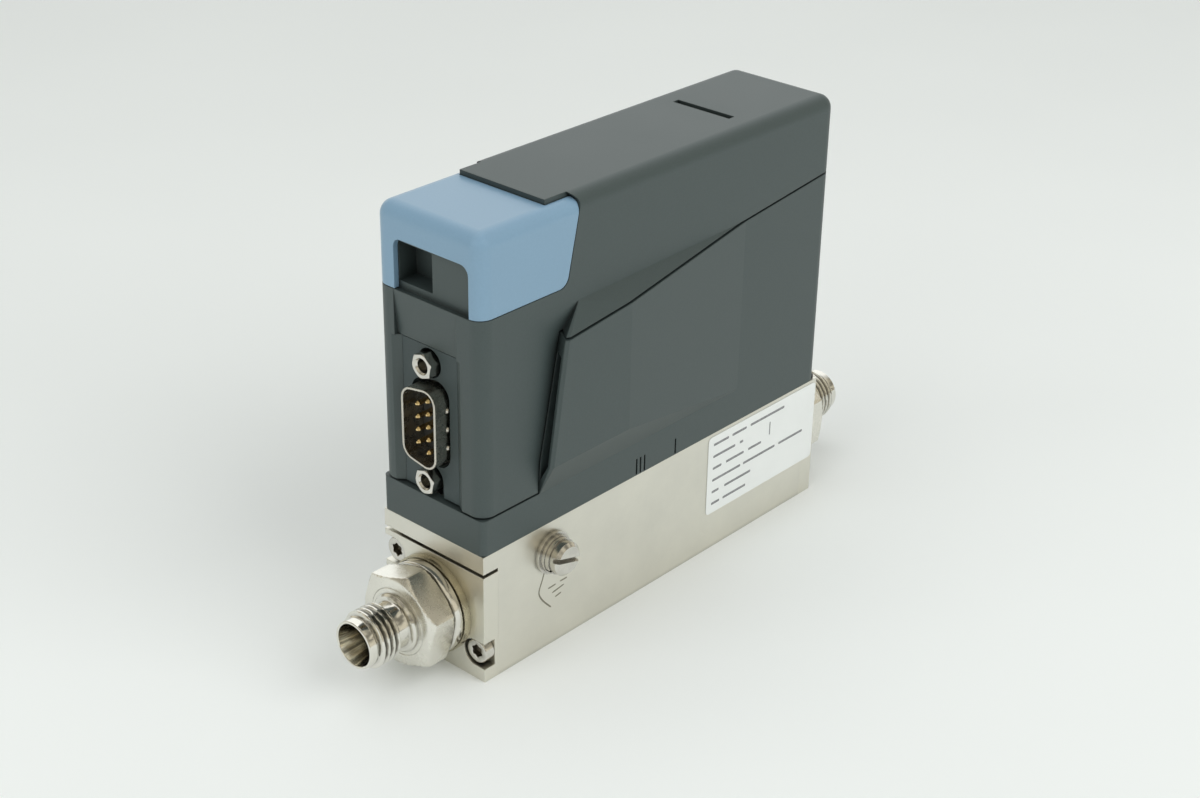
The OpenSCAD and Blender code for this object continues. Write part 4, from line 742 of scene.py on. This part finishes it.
def addRibbons(name, faceY, lines, width, endWidth, finish):
    build = bmesh.new()
    for line in lines:
        path = [Vector((x, z)) for x, z in line]
        left, right = [], []
        for i, point in enumerate(path):
            along = (path[min(i + 1, len(path) - 1)] - path[max(i - 1, 0)]).normalized()
            across = Vector((-along.y, along.x)) * width / 2
            if i in (0, len(path) - 1):
                across *= endWidth
            left.append(build.verts.new(Vector((point.x + across.x, faceY, point.y + across.y)) * mm))
            right.append(build.verts.new(Vector((point.x - across.x, faceY, point.y - across.y)) * mm))
        for i in range(len(path) - 1):
            build.faces.new((left[i], left[i + 1], right[i + 1], right[i]))
    thicken(build, markDepth)
    addPiece(name, build, finish)


addRibbons("earthMark", earthMark["faceY"] - earthMark["proud"],
           [smoothLine(line) for line in (earthMark["tail"], *earthMark["strokes"])],
           earthMark["width"], earthMark["endWidth"], "markAndShadeSteel")
print("earth mark engraved")


# floor and light

studio = {
    "floorColor": (0.93, 0.955, 0.935),
    "floorHalf": 6,                          # metres
    "floorRough": 0.85,
    "floorSpecular": 0.1,
    "backdropTone": (0.745, 0.785, 0.76),    # what the camera sees behind the floor
    "mattTone": (0.475, 0.485, 0.475),       # light on matt surfaces
    "wallTone": (0.50, 0.47, 0.385),         # light in reflections, all round
    "brightTone": (1.22, 1.25, 1.24),        # light in reflections, behind the controller
    "brightToward": (0.70, 0.62, 0.36),
    "brightReach": (0.62, 0.88),             # where the bright side begins and is full, as cosines
    "clutterScale": 2.6,                     # soft light and dark patches on the walls
    "clutterSpan": (0.42, 0.58),
    "clutterRange": (0.45, 1.5),
    "aim": (0, 0, 0.05),                     # what the lamps look at
    "lamps": {
        "keyLamp": {"place": (0.1, 0.25, 1.2), "size": 1.0, "power": 1.6, "mirrored": True},
        "sideLamp": {"place": (0.15, -0.85, 0.75), "size": 1.0, "power": 5.0, "mirrored": False},
        "frontLamp": {"place": (-0.85, 0.05, 0.65), "size": 1.0, "power": 3.1, "mirrored": False},
    },
}


def addFloor(setup):
    build = bmesh.new()
    bmesh.ops.create_grid(build, x_segments=8, y_segments=8, size=setup["floorHalf"])
    mesh = meshFrom(build, "studioFloor")
    floor = bpy.data.objects.new("studioFloor", mesh)
    bpy.context.scene.collection.objects.link(floor)
    floor.location.z = cadBox[0][2]
    material = bpy.data.materials.new("floorSheet")
    material.use_nodes = True
    tree = material.node_tree
    shader = tree.nodes["Principled BSDF"]
    shader.inputs["Roughness"].default_value = setup["floorRough"]
    shader.inputs["Specular IOR Level"].default_value = setup["floorSpecular"]
    where = addNode(tree, "ShaderNodeTexCoord").outputs["Object"]
    soft = noiseAt(tree, where, 160, detail=2)
    dark, light = (scaledColor(setup["floorColor"], by) for by in (0.985, 1.01))
    tree.links.new(mixColors(tree, ofNoise(tree, soft, 0.0, 1.0), dark, light), shader.inputs["Base Color"])
    mesh.materials.append(material)


def addSoftLamp(name, lamp, aim):
    data = bpy.data.lights.new(name, "AREA")
    data.shape = "DISK"
    data.size = lamp["size"]
    data.energy = lamp["power"]
    light = bpy.data.objects.new(name, data)
    bpy.context.scene.collection.objects.link(light)
    light.location = lamp["place"]
    light.rotation_euler = (Vector(aim) - Vector(lamp["place"])).to_track_quat("-Z", "Y").to_euler()
    light.visible_glossy = lamp["mirrored"]


def lightWorld(setup):
    # even light on matt surfaces, and for metal a dim warm room with one bright side behind the controller
    world = bpy.data.worlds.new("studioWorld")
    bpy.context.scene.world = world
    world.use_nodes = True
    tree = world.node_tree
    tree.nodes.clear()
    output = addNode(tree, "ShaderNodeOutputWorld")
    rays = addNode(tree, "ShaderNodeLightPath").outputs
    where = addNode(tree, "ShaderNodeTexCoord").outputs["Generated"]
    facing = onVectors(tree, "DOT_PRODUCT", where, Vector(setup["brightToward"]).normalized())["Value"]
    clutter = addNode(tree, "ShaderNodeTexNoise", {"Vector": where, "Scale": setup["clutterScale"], "Detail": 2.0})
    shade = spread(tree, clutter.outputs["Fac"], *setup["clutterSpan"], *setup["clutterRange"])
    walls = onVectors(tree, "MULTIPLY", setup["wallTone"], shade)[0]
    mirrored = mixColors(tree, spread(tree, facing, *setup["brightReach"]), walls, setup["brightTone"])
    room = mixColors(tree, rays["Is Glossy Ray"], setup["mattTone"], mirrored)
    light = addNode(tree, "ShaderNodeBackground", {"Color": room, "Strength": 1.0}).outputs[0]
    shown = addNode(tree, "ShaderNodeBackground", {"Color": (*setup["backdropTone"], 1), "Strength": 1.0}).outputs[0]
    seen = calc(tree, "ADD", rays["Is Camera Ray"], rays["Is Transmission Ray"], clamp=True)
    mixed = addNode(tree, "ShaderNodeMixShader", {0: seen, 1: light, 2: shown}).outputs[0]
    tree.links.new(mixed, output.inputs["Surface"])


addFloor(studio)
for name, lamp in studio["lamps"].items():
    addSoftLamp(name, lamp, studio["aim"])
lightWorld(studio)
bpy.context.scene.view_settings.view_transform = "Standard"
print("studio lit")
